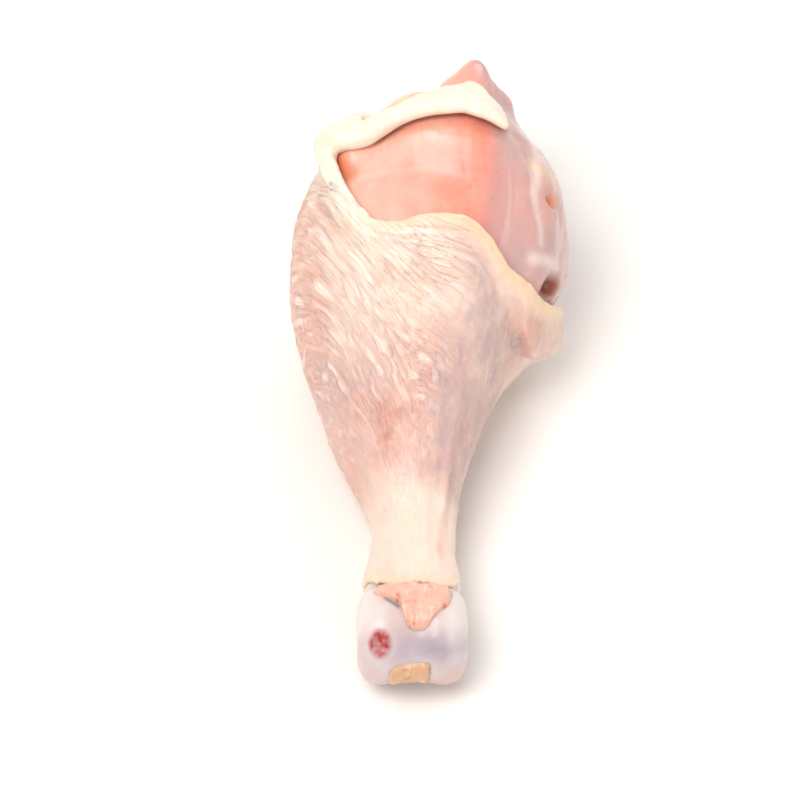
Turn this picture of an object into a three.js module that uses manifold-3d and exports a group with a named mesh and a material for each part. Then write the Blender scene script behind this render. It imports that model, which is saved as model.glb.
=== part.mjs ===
// A raw chicken drumstick, lying on its side with its ankle towards -Y and its knee end towards +Y.
// Millimetres, +Z up, the origin under the middle of the piece. The bone runs through the meat from the knuckle
// to the knee. A loose sleeve of skin covers both, from its cut hem at the ankle to an oblique mouth where the
// meat is bare. A strap of skin crosses the bare meat near the knee, and a pouch of slack skin hangs at the right.
import * as THREE from 'three';
import { mergeVertices } from 'three/addons/utils/BufferGeometryUtils.js';
import Module from 'manifold-3d';

const { PI, abs, cos, exp, hypot, max, min, pow, sign, sin, sqrt } = Math;
const { clamp, degToRad, lerp, smoothstep } = THREE.MathUtils;

// ---- Driving dimensions ----
const LENGTH = 131; // from the tip of the ankle to the knee end
const NECK_HALF_WIDTH = 8.1; // the thinnest place, above the ankle
const BELLY_HALF_WIDTH = 27; // the thickest place
const NECK_TOP = 17.6; // height of the skin's upper side at the neck
const BELLY_TOP = 47; // the same over the belly
const NECK_LIFT = 2.4; // the neck's underside clears the floor by this much
const SIDE_LEAN = 3.6; // the belly sits this far to the right of the ankle
const KNEE_SLANT = 10; // the left of the knee end stops this much sooner than the middle
const SKIN = 1.6; // thickness of the skin with its fat
const GAP = 0.45; // clearance between the bone and the pieces round it
const SLACK = 0.6; // clearance between the meat and the sleeve of skin
const FLOOR_SAG = 1.8; // the belly's weight presses this much of its round underside flat
const REST_HEIGHT = 0.35; // the patch it rests on stands this far below the rest of the skin
const REST_CORNERS = [[-9.5, 65.5], [3, 65.5], [9.3, 79], [9, 96], [-9.5, 98]]; // across the belly, and along

const NECK_Y = 24; // the narrow stretch above the ankle ends here
const CAP_Y = { left: 86, right: 88 }; // the knee end starts to round off here
const CAP_POWER = 2.3; // 2 would make the knee end an ellipsoid, more makes it blunter
const SECTION_POWER = 2.2; // 2 would make the cross-section an ellipse, more makes it squarer

const KNUCKLE = { halfWidth: 10.2, radius: 9.3, y: 9.2, z: 9.8, squareness: 4.2, groove: 0.1 };
const SHAFT = { radius: 4.1, startY: 12, endY: 116 };
const KNEE_HEAD = { x: 4, y: 121, z: 21, halfWidth: 12.5, halfDepth: 10, halfHeight: 9.5 };
const HEM_Y = 16.6; // the skin's cut edge at the ankle, at its top
const MEAT_START_Y = 19;

// The skin's oblique mouth: its height along the leg at the top, and how it climbs and falls round the leg.
const MOUTH = { lipY: 81.2, leftRise: 35, rightDip: 8, underside: 101 };
const STRAP = { rootAngle: -67, tipAngle: 41, halfWidth: 5.3, thickness: 3.2 };
const POUCH_RISE = 3.3; // the slack skin at the right stands this far off the meat
const FOLD = { height: 0.75, reach: 2.3 };

// ---- The smooth form that every layer follows ----
// Angles are in degrees round the leg: 0 is up, 90 is right and -90 left, seen from the ankle.

const bump = (value, centre, reach) => exp(-pow((value - centre) / reach, 2));
const wrapped = (angle) => angle - 360 * Math.round(angle / 360);

// How far an angle is on the right-hand side, from 0 at the left to 1 at the right.
const rightness = (angle) => (1 + sin(degToRad(angle))) / 2;

function spine(y) {
  const top = lerp(NECK_TOP, BELLY_TOP, smoothstep(y, NECK_Y, 92));
  const lift = NECK_LIFT * smoothstep(y, 12, NECK_Y) * (1 - smoothstep(y, 30, 62));
  const bottom = lift - FLOOR_SAG * smoothstep(y, 55, 80);
  return { x: SIDE_LEAN * smoothstep(y, 45, 92), z: (top + bottom) / 2, half: (top - bottom) / 2 };
}

// The left side swells in one sweep, the right side in two: a slow one, then the belly of the outer muscle.
function halfWidth(angle, y) {
  const swell = BELLY_HALF_WIDTH - NECK_HALF_WIDTH;
  const left = swell * smoothstep(y, 27, 86);
  const right = swell * (0.78 * smoothstep(y, 33, 94) + 0.24 * smoothstep(y, 66, 81));
  const ankleFlare = 2.4 * (1 - smoothstep(y, 15.5, 27.5));
  return NECK_HALF_WIDTH + (angle < 0 ? left : right) + ankleFlare;
}

// Scales each cross-section down to nothing towards the knee end.
function capShare(angle, y) {
  const start = lerp(CAP_Y.left, CAP_Y.right, rightness(angle));
  const along = clamp((y - start) / (LENGTH - start), 0, 1);
  return pow(max(0, 1 - pow(along, CAP_POWER)), 1 / CAP_POWER);
}

// A point of the meat's smooth outside, which is one skin and its slack inside the whole.
function formPoint(angle, y) {
  const { x, z, half } = spine(y);
  const across = abs(sin(degToRad(angle))) / (halfWidth(wrapped(angle), y) - SKIN - SLACK);
  const up = abs(cos(degToRad(angle))) / (half - SKIN - SLACK);
  const tight = pow(pow(across, SECTION_POWER) + pow(up, SECTION_POWER), -1 / SECTION_POWER);
  const radius = tight * capShare(angle, y);
  const sideways = radius * sin(degToRad(angle));
  const slant = KNEE_SLANT * smoothstep(-sideways / BELLY_HALF_WIDTH, 0, 1) * smoothstep(y, 88, 118);
  return new THREE.Vector3(x + sideways, y - slant, z + radius * cos(degToRad(angle)));
}

function formNormal(angle, y) {
  const step = 0.5;
  const reachY = min(y + step, LENGTH - 0.2);
  const round = formPoint(angle + 2, y).sub(formPoint(angle - 2, y));
  const along = formPoint(angle, reachY).sub(formPoint(angle, reachY - 2 * step));
  return round.cross(along).normalize();
}

// A point at a height over the form, kept above the floor.
function layerPoint(angle, y, height, floor) {
  const point = formPoint(angle, y).addScaledVector(formNormal(angle, y), height);
  point.z = max(point.z, floor);
  return point;
}

// ---- Relief of each layer, in millimetres along the normal ----

// How near a place is to a line across the unrolled surface, 1 on the line.
function nearLine(angle, y, [fromAngle, fromY], [toAngle, toY], reach) {
  const around = 0.42; // a degree is about this many millimetres on the belly
  const [dx, dy] = [(toAngle - fromAngle) * around, toY - fromY];
  const [px, py] = [(angle - fromAngle) * around, y - fromY];
  const t = clamp((px * dx + py * dy) / (dx * dx + dy * dy), 0, 1);
  return bump(hypot(px - t * dx, py - t * dy), 0, reach);
}

const nearSpot = (angle, y, [atAngle, atY], reach) =>
  nearLine(angle, y, [atAngle, atY], [atAngle, atY + 0.01], reach);

// Swellings of the muscles, which the skin has to clear.
function muscleSwell(angle, y) {
  const calf = 1.4 * bump(angle, -6, 30) * bump(y, 97, 14);
  const pastMouth = smoothstep(y - mouthY(angle), -3, 7) * (1 - smoothstep(y, 98, 115));
  const outerMuscle = 1.8 * smoothstep(angle, 34, 60) * (1 - smoothstep(angle, 104, 140)) * pastMouth;
  const kneeLobe = 0.9 * nearLine(angle, y, [62, 107], [64, 98], 4.2);
  const nub = 1.3 * nearSpot(angle, y, [60, 78], 3.2);
  const fleshTip = max(
    6.4 * nearLine(angle, y, [25, 127], [43, 127], 3.7),
    3.9 * nearLine(angle, y, [43, 126.5], [62, 123.5], 3.3),
  );
  const kneeSlope = -2.2 * nearLine(angle, y, [-38, 118], [2, 124], 6.5);
  const calfEnd = -2.3 * bump(angle, -80, 34) * bump(y, 37, 7);
  return calf + outerMuscle + kneeLobe + nub + fleshTip + kneeSlope + calfEnd;
}

// Furrows of the bare meat: between the two muscles, beside the tendon, at the vein and beside the nub.
function muscleFurrow(angle, y) {
  const seam = 0.9 * nearLine(angle, y, [31, 108], [25, 79], 2.2);
  const tendonEdge = 1.1 * nearLine(angle, y, [49, 108], [53, 88], 1.9);
  const vein = 1.4 * nearSpot(angle, y, [60, 93], 2);
  const nubSide = 1.6 * nearSpot(angle, y, [71, 78], 2.4);
  return seam + tendonEdge + vein + nubSide;
}

function mouthY(angle) {
  const topY = MOUTH.lipY - 1.2 * bump(angle, -15, 9);
  if (angle < 0) {
    const corner = topY + MOUTH.leftRise * smoothstep(-angle, 22, 64);
    return lerp(corner, MOUTH.underside, smoothstep(-angle, 100, 180));
  }
  const right = topY - MOUTH.rightDip * smoothstep(angle, 12, 52);
  return lerp(right, MOUTH.underside, smoothstep(angle, 68, 180));
}

const hemY = (angle) => HEM_Y + 5 * smoothstep(abs(angle), 25, 110) + 0.4 * sin(degToRad(5 * angle));

// The slack skin's pouch at the right, which hangs off the meat below the mouth. Its lower hem climbs to the right.
function pouchLift(angle, y) {
  const around = smoothstep(angle, 48, 70) * (1 - smoothstep(angle, 104, 124));
  const pouchHem = 66.8 + 8.6 * smoothstep(angle, 72, 110);
  const settles = 1 - 0.5 * smoothstep(y, 71, 77);
  return POUCH_RISE * around * smoothstep(y, pouchHem, pouchHem + 2.8) * settles;
}

// The corner where the strap leaves the mouth is a thick roll of fat that stands off the meat.
const cornerRoll = (angle, y) => nearLine(angle, y, [-46, 114.5], [-53, 115.5], 3.8);

// Folds that fan out from the left side of the mouth and level out over the middle.
function folds(angle, y) {
  const lines = [
    [[-46, 91], [-30, 77]],
    [[-56, 88], [-22, 69.5]],
    [[-66, 80], [-8, 72]],
    [[-58, 72], [-16, 61]],
    [[4, 75.5], [28, 72]],
  ];
  const raised = lines.map(([from, to]) => nearLine(angle, y, from, to, FOLD.reach));
  return FOLD.height * (raised.reduce((sum, near) => sum + near, 0) - 0.3);
}

function skinRelief(angle, y) {
  const pouchCrease = -1.2 * nearLine(angle, y, [42, 72], [76, 66.5], 1.9);
  const tendonRidge = 0.7 * nearLine(angle, y, [36, 52], [40, 34], 2);
  const tendonGroove = -0.5 * nearLine(angle, y, [52, 52], [56, 30], 2.4);
  const dimple = -0.5 * nearSpot(angle, y, [-28, 47.5], 5);
  const foldShare = smoothstep(y, 52, 60) * smoothstep(mouthY(angle) - y, 0, 5);
  return max(-0.8, pouchCrease + tendonRidge + tendonGroove + dimple + folds(angle, y) * foldShare);
}

function skinThickness(angle, y) {
  const fromMouth = mouthY(angle) - y;
  const leftRoll = 1 * bump(angle, -44, 20) * bump(fromMouth, 2, 3);
  const rightRoll = 1.5 * bump(angle, 50, 30) * bump(fromMouth, 2.4, 3);
  const ankleEdge = -0.4 * bump(y, hemY(angle), 2);
  return SKIN + leftRoll + rightRoll + 1.2 * cornerRoll(angle, y) + ankleEdge;
}

function skinInnerHeight(angle, y) {
  const loose = 0.8 * bump(angle, 10, 24) * smoothstep(y - mouthY(angle), -5, 0);
  const under = 0.3 * bump(angle, 125, 28);
  const raised = 0.85 * pouchLift(angle, y) + 3.2 * cornerRoll(angle, y);
  return SLACK + muscleSwell(angle, y) + raised + loose + under;
}

const skinOuterHeight = (angle, y) =>
  skinInnerHeight(angle, y) + 0.15 * pouchLift(angle, y) + skinThickness(angle, y) + skinRelief(angle, y);

// ---- Meshes from rings ----

function geometryOf(points, faces) {
  const geometry = new THREE.BufferGeometry();
  const positions = points.flatMap((p) => p.toArray());
  geometry.setAttribute('position', new THREE.Float32BufferAttribute(positions, 3));
  geometry.setIndex(faces);
  return geometry;
}

// Two triangles for each place between one ring and the next.
function ringFaces(ringCount, turn, closed) {
  const faces = [];
  for (let row = 0; row < (closed ? ringCount : ringCount - 1); row++) {
    for (let column = 0; column < turn; column++) {
      const next = (row + 1) % ringCount;
      const [a, b] = [row * turn + column, row * turn + ((column + 1) % turn)];
      const [c, d] = [next * turn + column, next * turn + ((column + 1) % turn)];
      faces.push(a, b, c, b, d, c);
    }
  }
  return faces;
}

// A solid from rings that each make one turn, closed by a pole at either end.
function ringSolid(rings, firstPole, lastPole) {
  const turn = rings[0].length;
  const faces = ringFaces(rings.length, turn, false);
  const [first, last] = [rings.length * turn, rings.length * turn + 1];
  for (let column = 0; column < turn; column++) {
    const [a, b] = [column, (column + 1) % turn];
    faces.push(first, b, a);
    faces.push(last, (rings.length - 1) * turn + a, (rings.length - 1) * turn + b);
  }
  return geometryOf([...rings.flat(), firstPole, lastPole], faces);
}

// A sleeve from rings that run along its outside and back along its inside.
function sleeveSolid(rings) {
  return geometryOf(rings.flat(), ringFaces(rings.length, rings[0].length, true));
}

// A slab from its upper and lower faces, each a grid of points given row by row.
function slabGeometry(upper, lower, columns, rows) {
  const faces = [];
  const lowerStart = upper.length;
  const quad = (a, b, c, d) => faces.push(a, b, c, b, d, c);
  for (let j = 0; j < rows - 1; j++) {
    for (let i = 0; i < columns - 1; i++) {
      const a = j * columns + i;
      quad(a, a + 1, a + columns, a + columns + 1);
      quad(lowerStart + a + 1, lowerStart + a, lowerStart + a + columns + 1, lowerStart + a + columns);
    }
  }
  const rim = [
    ...Array.from({ length: columns }, (_, i) => i),
    ...Array.from({ length: rows - 2 }, (_, j) => (j + 2) * columns - 1),
    ...Array.from({ length: columns }, (_, i) => rows * columns - 1 - i),
    ...Array.from({ length: rows - 2 }, (_, j) => (rows - 2 - j) * columns),
  ];
  rim.forEach((a, k) => {
    const b = rim[(k + 1) % rim.length];
    quad(lowerStart + a, lowerStart + b, a, b);
  });
  return geometryOf([...upper, ...lower], faces);
}

const ringAt = (turn, pointAt) => Array.from({ length: turn }, (_, k) => pointAt(wrapped((k * 360) / turn)));
const steps = (count, valueAt) => Array.from({ length: count }, (_, k) => valueAt(k / (count - 1)));

// ---- Solids and joins ----

const wasm = await Module();
wasm.setup();

function solidOf(geometry) {
  const merged = mergeVertices(geometry, 1e-4);
  return new wasm.Manifold(new wasm.Mesh({
    numProp: 3,
    vertProperties: merged.attributes.position.array,
    triVerts: new Uint32Array(merged.index.array),
  }));
}

function geometryFrom(solid) {
  const mesh = solid.getMesh();
  const geometry = new THREE.BufferGeometry();
  geometry.setAttribute('position', new THREE.BufferAttribute(mesh.vertProperties, 3));
  geometry.setIndex(new THREE.BufferAttribute(mesh.triVerts, 1));
  return geometry;
}

// ---- The bone ----

// The knuckle is a spool across the leg: two round condyles with a shallow groove between them. Its turn angle
// is in degrees, 0 at the ankle's tip, 90 at the top and -90 at the floor.
const KNUCKLE_PIT = { x: -5.8, turn: 44, depth: 1.1 };

function knuckleRadius(x, turn) {
  const { halfWidth: wide, radius, squareness, groove } = KNUCKLE;
  const round = pow(max(0, 1 - pow(abs(x) / wide, squareness)), 1 / squareness);
  const front = smoothstep(cos(degToRad(turn)), -0.6, 0.5);
  const under = smoothstep(-turn, 0, 40);
  const dip = groove * bump(x, 0.6, 3.4) * front + 0.1 * bump(x, -1, 3) * under;
  const fromPit = hypot(x - KNUCKLE_PIT.x, (turn - KNUCKLE_PIT.turn) / 7);
  const pit = (KNUCKLE_PIT.depth / radius) * bump(fromPit, 0, 1.7);
  return radius * round * (1 - dip - pit);
}

function knucklePoint(x, turn, margin) {
  const r = knuckleRadius(x, turn) + margin;
  const outward = (margin * x) / KNUCKLE.halfWidth;
  const z = max(KNUCKLE.z + r * sin(degToRad(turn)), -max(margin, 0));
  return new THREE.Vector3(x + outward, KNUCKLE.y - r * cos(degToRad(turn)), z);
}

function knuckleSolid(margin) {
  const wide = KNUCKLE.halfWidth;
  const xs = steps(17, (t) => -wide * sign(cos(t * PI)) * pow(abs(cos(t * PI)), 0.55) * 0.999);
  const rings = xs.map((x) => ringAt(28, (turn) => knucklePoint(x, -turn, margin)));
  const pole = (side) => new THREE.Vector3(side * (wide + margin), KNUCKLE.y, KNUCKLE.z);
  return solidOf(ringSolid(rings, pole(-1), pole(1)));
}

function shaftSolid(margin) {
  const ring = (t) => {
    const flare = 1 + 0.4 * bump(t, 0, 0.12) + 0.4 * bump(t, 1, 0.14);
    const [x, z] = [lerp(0, KNEE_HEAD.x, t), lerp(KNUCKLE.z, KNEE_HEAD.z, t)];
    const y = lerp(SHAFT.startY, SHAFT.endY, t);
    const r = SHAFT.radius * flare + margin;
    return ringAt(16, (a) => new THREE.Vector3(x + r * sin(degToRad(a)), y, z + r * cos(degToRad(a))));
  };
  const startPole = new THREE.Vector3(0, SHAFT.startY - 1, KNUCKLE.z);
  const endPole = new THREE.Vector3(KNEE_HEAD.x, SHAFT.endY + 1, KNEE_HEAD.z);
  return solidOf(ringSolid(steps(12, ring), startPole, endPole));
}

// The knee's two shallow bearing faces, with the notch between them.
function kneeHeadSolid(margin) {
  const pointAt = (share, angle) => {
    const y = -cos(share * PI);
    const round = pow(sin(share * PI), 0.7);
    const [x, z] = [round * sin(degToRad(angle)), round * cos(degToRad(angle))];
    const notch = 1 - 0.22 * smoothstep(y, 0.2, 1) * bump(x, 0.05, 0.25);
    const crest = 1 - 0.2 * bump(x, 0, 0.3) * smoothstep(-z, 0.2, 1);
    return new THREE.Vector3(
      KNEE_HEAD.x + (KNEE_HEAD.halfWidth + margin) * x,
      KNEE_HEAD.y + (KNEE_HEAD.halfDepth + margin) * y * notch,
      KNEE_HEAD.z + (KNEE_HEAD.halfHeight + margin) * z * crest,
    );
  };
  const rings = steps(13, (t) => ringAt(24, (angle) => pointAt(lerp(0.05, 0.95, t), angle)));
  return solidOf(ringSolid(rings, pointAt(0, 0), pointAt(1, 0)));
}

const boneSolid = (margin) => knuckleSolid(margin).add(shaftSolid(margin)).add(kneeHeadSolid(margin));

// ---- Shreds of tissue left on the knuckle ----

// A thin pad that lies on the knuckle between two places across it and two turn angles, thickest in its middle.
function tissuePad({ fromX, toX, fromTurn, toTurn, thickness, ragged }) {
  const columns = 8;
  const rows = 6;
  const corner = (i, j) => {
    const [u, v] = [i / columns, j / rows];
    const fray = ragged * sin(9 * u + 2) * sin(degToRad(180 * u)) * v;
    const x = lerp(fromX, toX, lerp(u, lerp(0.18, 0.82, u), v * v));
    const share = sqrt(sin(PI * u) * sin(PI * lerp(0.12, 1, v)));
    return { x, turn: lerp(fromTurn, toTurn, v) + fray, share };
  };
  const faceAt = (raised) => {
    const points = [];
    for (let j = 0; j <= rows; j++) {
      for (let i = 0; i <= columns; i++) {
        const { x, turn, share } = corner(i, j);
        points.push(knucklePoint(x, turn, GAP + (raised ? lerp(0.35, thickness, share) : 0)));
      }
    }
    return points;
  };
  return solidOf(slabGeometry(faceAt(true), faceAt(false), columns + 1, rows + 1));
}

const ankleTendonSolid = () =>
  tissuePad({ fromX: 6, toX: -5.6, fromTurn: 124, toTurn: 60, thickness: 1.5, ragged: 5 });
const solePadSolid = () =>
  tissuePad({ fromX: -5.4, toX: 3.8, fromTurn: -16, toTurn: 20, thickness: 1.1, ragged: 3 });

// ---- The meat ----

// The shallow hollow in the meat's knee end, where the cut joint shows the head of the bone.
function kneeSeatSolid() {
  const { x, z, halfWidth: wide, halfHeight: high } = KNEE_HEAD;
  const seat = new THREE.SphereGeometry(1, 28, 14).scale(wide + 3, 9, high + 3).translate(x, 135.5, z);
  seat.deleteAttribute('normal');
  seat.deleteAttribute('uv');
  return solidOf(seat);
}

function meatSolid() {
  const meatPoint = (angle, y) =>
    layerPoint(angle, y, muscleSwell(angle, y) - muscleFurrow(angle, y), SKIN + SLACK);
  const capStart = CAP_Y.left;
  const sides = steps(13, (t) => lerp(MEAT_START_Y, capStart, t));
  const cap = steps(18, (t) => capStart + (LENGTH - capStart) * pow(sin((t * 0.97 * PI) / 2), 2 / CAP_POWER));
  const rings = [...sides, ...cap.slice(1)].map((y) => ringAt(56, (angle) => meatPoint(angle, y)));
  const pole = (ringY, y) => new THREE.Vector3(spine(ringY).x, y, spine(ringY).z);
  const whole = ringSolid(rings, pole(MEAT_START_Y, MEAT_START_Y - 0.4), pole(LENGTH, LENGTH));
  return solidOf(whole).subtract(kneeSeatSolid()).subtract(boneSolid(GAP));
}

// ---- The skin ----

function sleeve() {
  const along = (angle, v) => lerp(hemY(angle), mouthY(angle), v);
  const outer = (v) =>
    ringAt(58, (a) => layerPoint(a, along(a, v), skinOuterHeight(a, along(a, v)), REST_HEIGHT));
  const inner = (v) => ringAt(58, (a) => layerPoint(a, along(a, v), skinInnerHeight(a, along(a, v)), SKIN));
  // The cut edge is half round: it reaches a little past the two faces, half-way between them.
  const edge = (v, reach) => ringAt(58, (a) => {
    const y = along(a, v) + reach;
    const height = (skinInnerHeight(a, along(a, v)) + skinOuterHeight(a, along(a, v))) / 2;
    return layerPoint(a, y, height, SKIN / 2);
  });
  const outside = steps(31, (t) => outer(1 - pow(1 - t, 1.15)));
  const rings = [edge(0, -0.7), ...outside, edge(1, 0.9), ...steps(12, (t) => inner(1 - t))];
  return solidOf(sleeveSolid(rings));
}

const strapY = (angle) =>
  108 + 6.2 * smoothstep(angle, -16, 21) - 1.2 * smoothstep(angle, 28, 41) + 4.2 * bump(angle, -53, 13);

// A rolled band that leaves the corner of the sleeve, crosses over the meat and ends in a broad blunt tip.
function strap() {
  const pointAt = (u, around) => {
    const middle = lerp(STRAP.rootAngle, STRAP.tipAngle, u);
    const slope = (strapY(middle + 1) - strapY(middle - 1)) / (2 * 0.42);
    const tip = pow(1 - pow(clamp((u - 0.86) / 0.145, 0, 1), 2.4), 1 / 2.4);
    // The root starts inside the wall of the sleeve and comes out of it as it thickens.
    const root = smoothstep(u, 0, 0.2);
    const bulges = 1.6 * bump(middle, -42, 10) + 0.9 * bump(middle, 26, 13) - 2 * bump(middle, -17, 13);
    const wide = STRAP.halfWidth * lerp(0.45, 1, root) + bulges;
    const across = wide * tip * cos(degToRad(around));
    const angle = middle - (across * slope) / hypot(1, slope) / 0.42;
    const y = strapY(middle) + across / hypot(1, slope);
    const thick = lerp(SKIN / 2, STRAP.thickness * lerp(0.5, 1, tip), root);
    const under = lerp(SLACK + SKIN / 4, SLACK, root) + 4 * cornerRoll(angle, y);
    const height = under + (thick * (1 + sin(degToRad(around)))) / 2;
    return layerPoint(angle, y, muscleSwell(angle, y) + height, 0);
  };
  const rings = steps(24, (u) => ringAt(12, (around) => pointAt(lerp(0, 0.995, u), around)));
  const sumOf = (ring) => ring.reduce((sum, p) => sum.add(p), new THREE.Vector3());
  const middleOf = (ring) => sumOf(ring).divideScalar(ring.length);
  return solidOf(ringSolid(rings, middleOf(rings[0]), middleOf(rings[rings.length - 1])));
}

// The flat patch under the belly that carries the weight. Its sides lean out into the wall of the sleeve.
function restPatch() {
  const middle = 82;
  const outline = (z, spread) =>
    REST_CORNERS.map(([x, y]) => [SIDE_LEAN + x * spread, middle + (y - middle) * spread, z]);
  return wasm.Manifold.hull([...outline(0, 1), ...outline(SKIN * 0.75, 1.1)]);
}

const skinSolid = () => sleeve().add(strap()).add(restPatch()).subtract(boneSolid(GAP));

// ---- The drumstick ----

const drumstick = new THREE.Group();

function addPiece(name, solid, color, roughness) {
  const piece = new THREE.Mesh(
    geometryFrom(solid),
    new THREE.MeshStandardMaterial({ color, roughness, metalness: 0 }),
  );
  piece.name = name;
  drumstick.add(piece);
}

addPiece('bone', boneSolid(0), 0xd9ced6, 0.3);
addPiece('ankle_tendon', ankleTendonSolid(), 0xf3bfae, 0.4);
addPiece('sole_pad', solePadSolid(), 0xe3b98f, 0.45);
addPiece('meat', meatSolid(), 0xf4b5a3, 0.35);
addPiece('skin', skinSolid(), 0xf1d3c3, 0.45);
drumstick.position.set(-SIDE_LEAN, -LENGTH / 2, 0);

export default drumstick;
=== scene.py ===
"""A raw chicken drumstick lying on its side: moist wrinkled skin, bare meat and a wet cartilage knuckle."""

import logging
import math
from dataclasses import dataclass, field
from enum import Enum

import bpy
import numpy as np
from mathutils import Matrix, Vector


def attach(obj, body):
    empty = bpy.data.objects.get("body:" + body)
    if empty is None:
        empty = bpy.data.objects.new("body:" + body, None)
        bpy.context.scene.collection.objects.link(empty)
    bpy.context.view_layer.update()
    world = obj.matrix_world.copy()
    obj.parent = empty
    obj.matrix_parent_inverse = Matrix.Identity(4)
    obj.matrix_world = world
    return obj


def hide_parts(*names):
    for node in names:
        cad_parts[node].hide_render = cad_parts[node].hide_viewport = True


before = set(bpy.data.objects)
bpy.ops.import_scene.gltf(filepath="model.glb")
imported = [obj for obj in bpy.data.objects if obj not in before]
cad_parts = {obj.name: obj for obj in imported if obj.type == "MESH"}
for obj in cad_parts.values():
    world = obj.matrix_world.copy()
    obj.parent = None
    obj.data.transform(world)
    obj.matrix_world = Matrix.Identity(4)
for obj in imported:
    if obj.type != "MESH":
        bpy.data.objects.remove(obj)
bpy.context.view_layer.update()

LOG = logging.getLogger("drumstick")
BODY = "root"
MM = 0.001  # metres in a millimetre
LEG_LENGTH = 131.0
SIDE_LEAN = 3.6
ORIGIN = np.array([SIDE_LEAN, LEG_LENGTH / 2, 0.0])  # the frame's origin, in the leg's own millimetres
DEGREE_WIDTH = 0.42  # millimetres round the leg in a degree, on the belly
GRAIN = "grain"  # the attribute that says where a vertex lies across and along the grain

Points = np.ndarray
Values = np.ndarray


class Mask(Enum):
    """Where a tint or a tissue lies on a piece, from 0 to 1, kept as an attribute of its mesh."""

    FAT = "fat"
    BLUSH = "blush"
    PALE = "pale"
    WHITE = "white"
    LILAC = "lilac"
    DUSK = "dusk"
    RED = "red"  # blood, marrow or a bruise; beside the meat's nub, partly painted shade
    FASCIA = "fascia"  # the meat's clear film, or a pad's pale fibres
    VEIN = "vein"
    GLOW = "glow"  # painted orange shade and glow under the strap's edge and in the corner notch beside it
    SLIT = "painted_gap_shadow"  # a painted shadow line in the gap under the tendon tissue's edge on the knuckle
    CREASE = "painted_relief_shading"  # from a painted highlight on a wrinkle's crest to painted shade in its depth; on the strap, painted shade in the dips between its lumps
    WRINKLE = "wrinkle"  # how wrinkled the skin is


# ---- Small numeric helpers ----


def smooth(value: Values, low: float, high: float) -> Values:
    """Returns 0 below low, 1 above high and an S-shaped ramp between."""
    t = np.clip((value - low) / (high - low), 0.0, 1.0)
    return t * t * (3.0 - 2.0 * t)


def bump(value: Values, centre: Values, reach: Values) -> Values:
    """Returns a bell that is 1 at the centre and fades within the reach."""
    return np.exp(-(((value - centre) / reach) ** 2))


def lerp(low: Values, high: Values, share: Values) -> Values:
    """Returns the value that is a share of the way from low to high."""
    return low + (high - low) * share


def sine_cosine(angle: Values) -> tuple[Values, Values]:
    """Returns the sine and cosine of an angle in degrees."""
    return np.sin(np.radians(angle)), np.cos(np.radians(angle))


def unit_rows(rows: Points) -> Points:
    """Returns directions drawn out or in to a length of 1."""
    return rows / np.maximum(np.linalg.norm(rows, axis=1, keepdims=True), 1e-9)


def near_line(
    angle: Values, y: Values, start: tuple[float, float], end: tuple[float, float], reach: float
) -> Values:
    """Returns how near places on the unrolled leg are to a line.

    Args:
        angle: degrees round the leg.
        y: millimetres along it.
        start: angle and y of one end of the line.
        end: angle and y of its other end.
        reach: millimetres over which it fades.

    Returns:
        1 on the line, fading to 0.
    """
    dx, dy = (end[0] - start[0]) * DEGREE_WIDTH, end[1] - start[1] + 1e-6
    px, py = (angle - start[0]) * DEGREE_WIDTH, y - start[1]
    t = np.clip((px * dx + py * dy) / (dx * dx + dy * dy), 0.0, 1.0)
    return bump(np.hypot(px - t * dx, py - t * dy), 0.0, reach)


def near_spot(angle: Values, y: Values, spot: tuple[float, float], reach: float) -> Values:
    """Returns how near places on the unrolled leg are to a spot."""
    return near_line(angle, y, spot, spot, reach)


def curve_through(values: Values, at: Values) -> Values:
    """Reads a smooth curve that passes through evenly spaced values.

    Args:
        values: what the curve passes through.
        at: places along it, counted in values from the first.

    Returns:
        The curve's value at each place.
    """
    padded = np.concatenate([[2 * values[0] - values[1]], values, [2 * values[-1] - values[-2]]])
    at = np.clip(at, 0, len(values) - 1 - 1e-6)
    cell = np.floor(at).astype(int)
    t = at - cell
    a, b, c, d = (padded[cell + n] for n in range(4))
    return 0.5 * (2 * b + (c - a) * t + (2 * a - 5 * b + 4 * c - d) * t**2 + (3 * b - a - 3 * c + d) * t**3)


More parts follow.
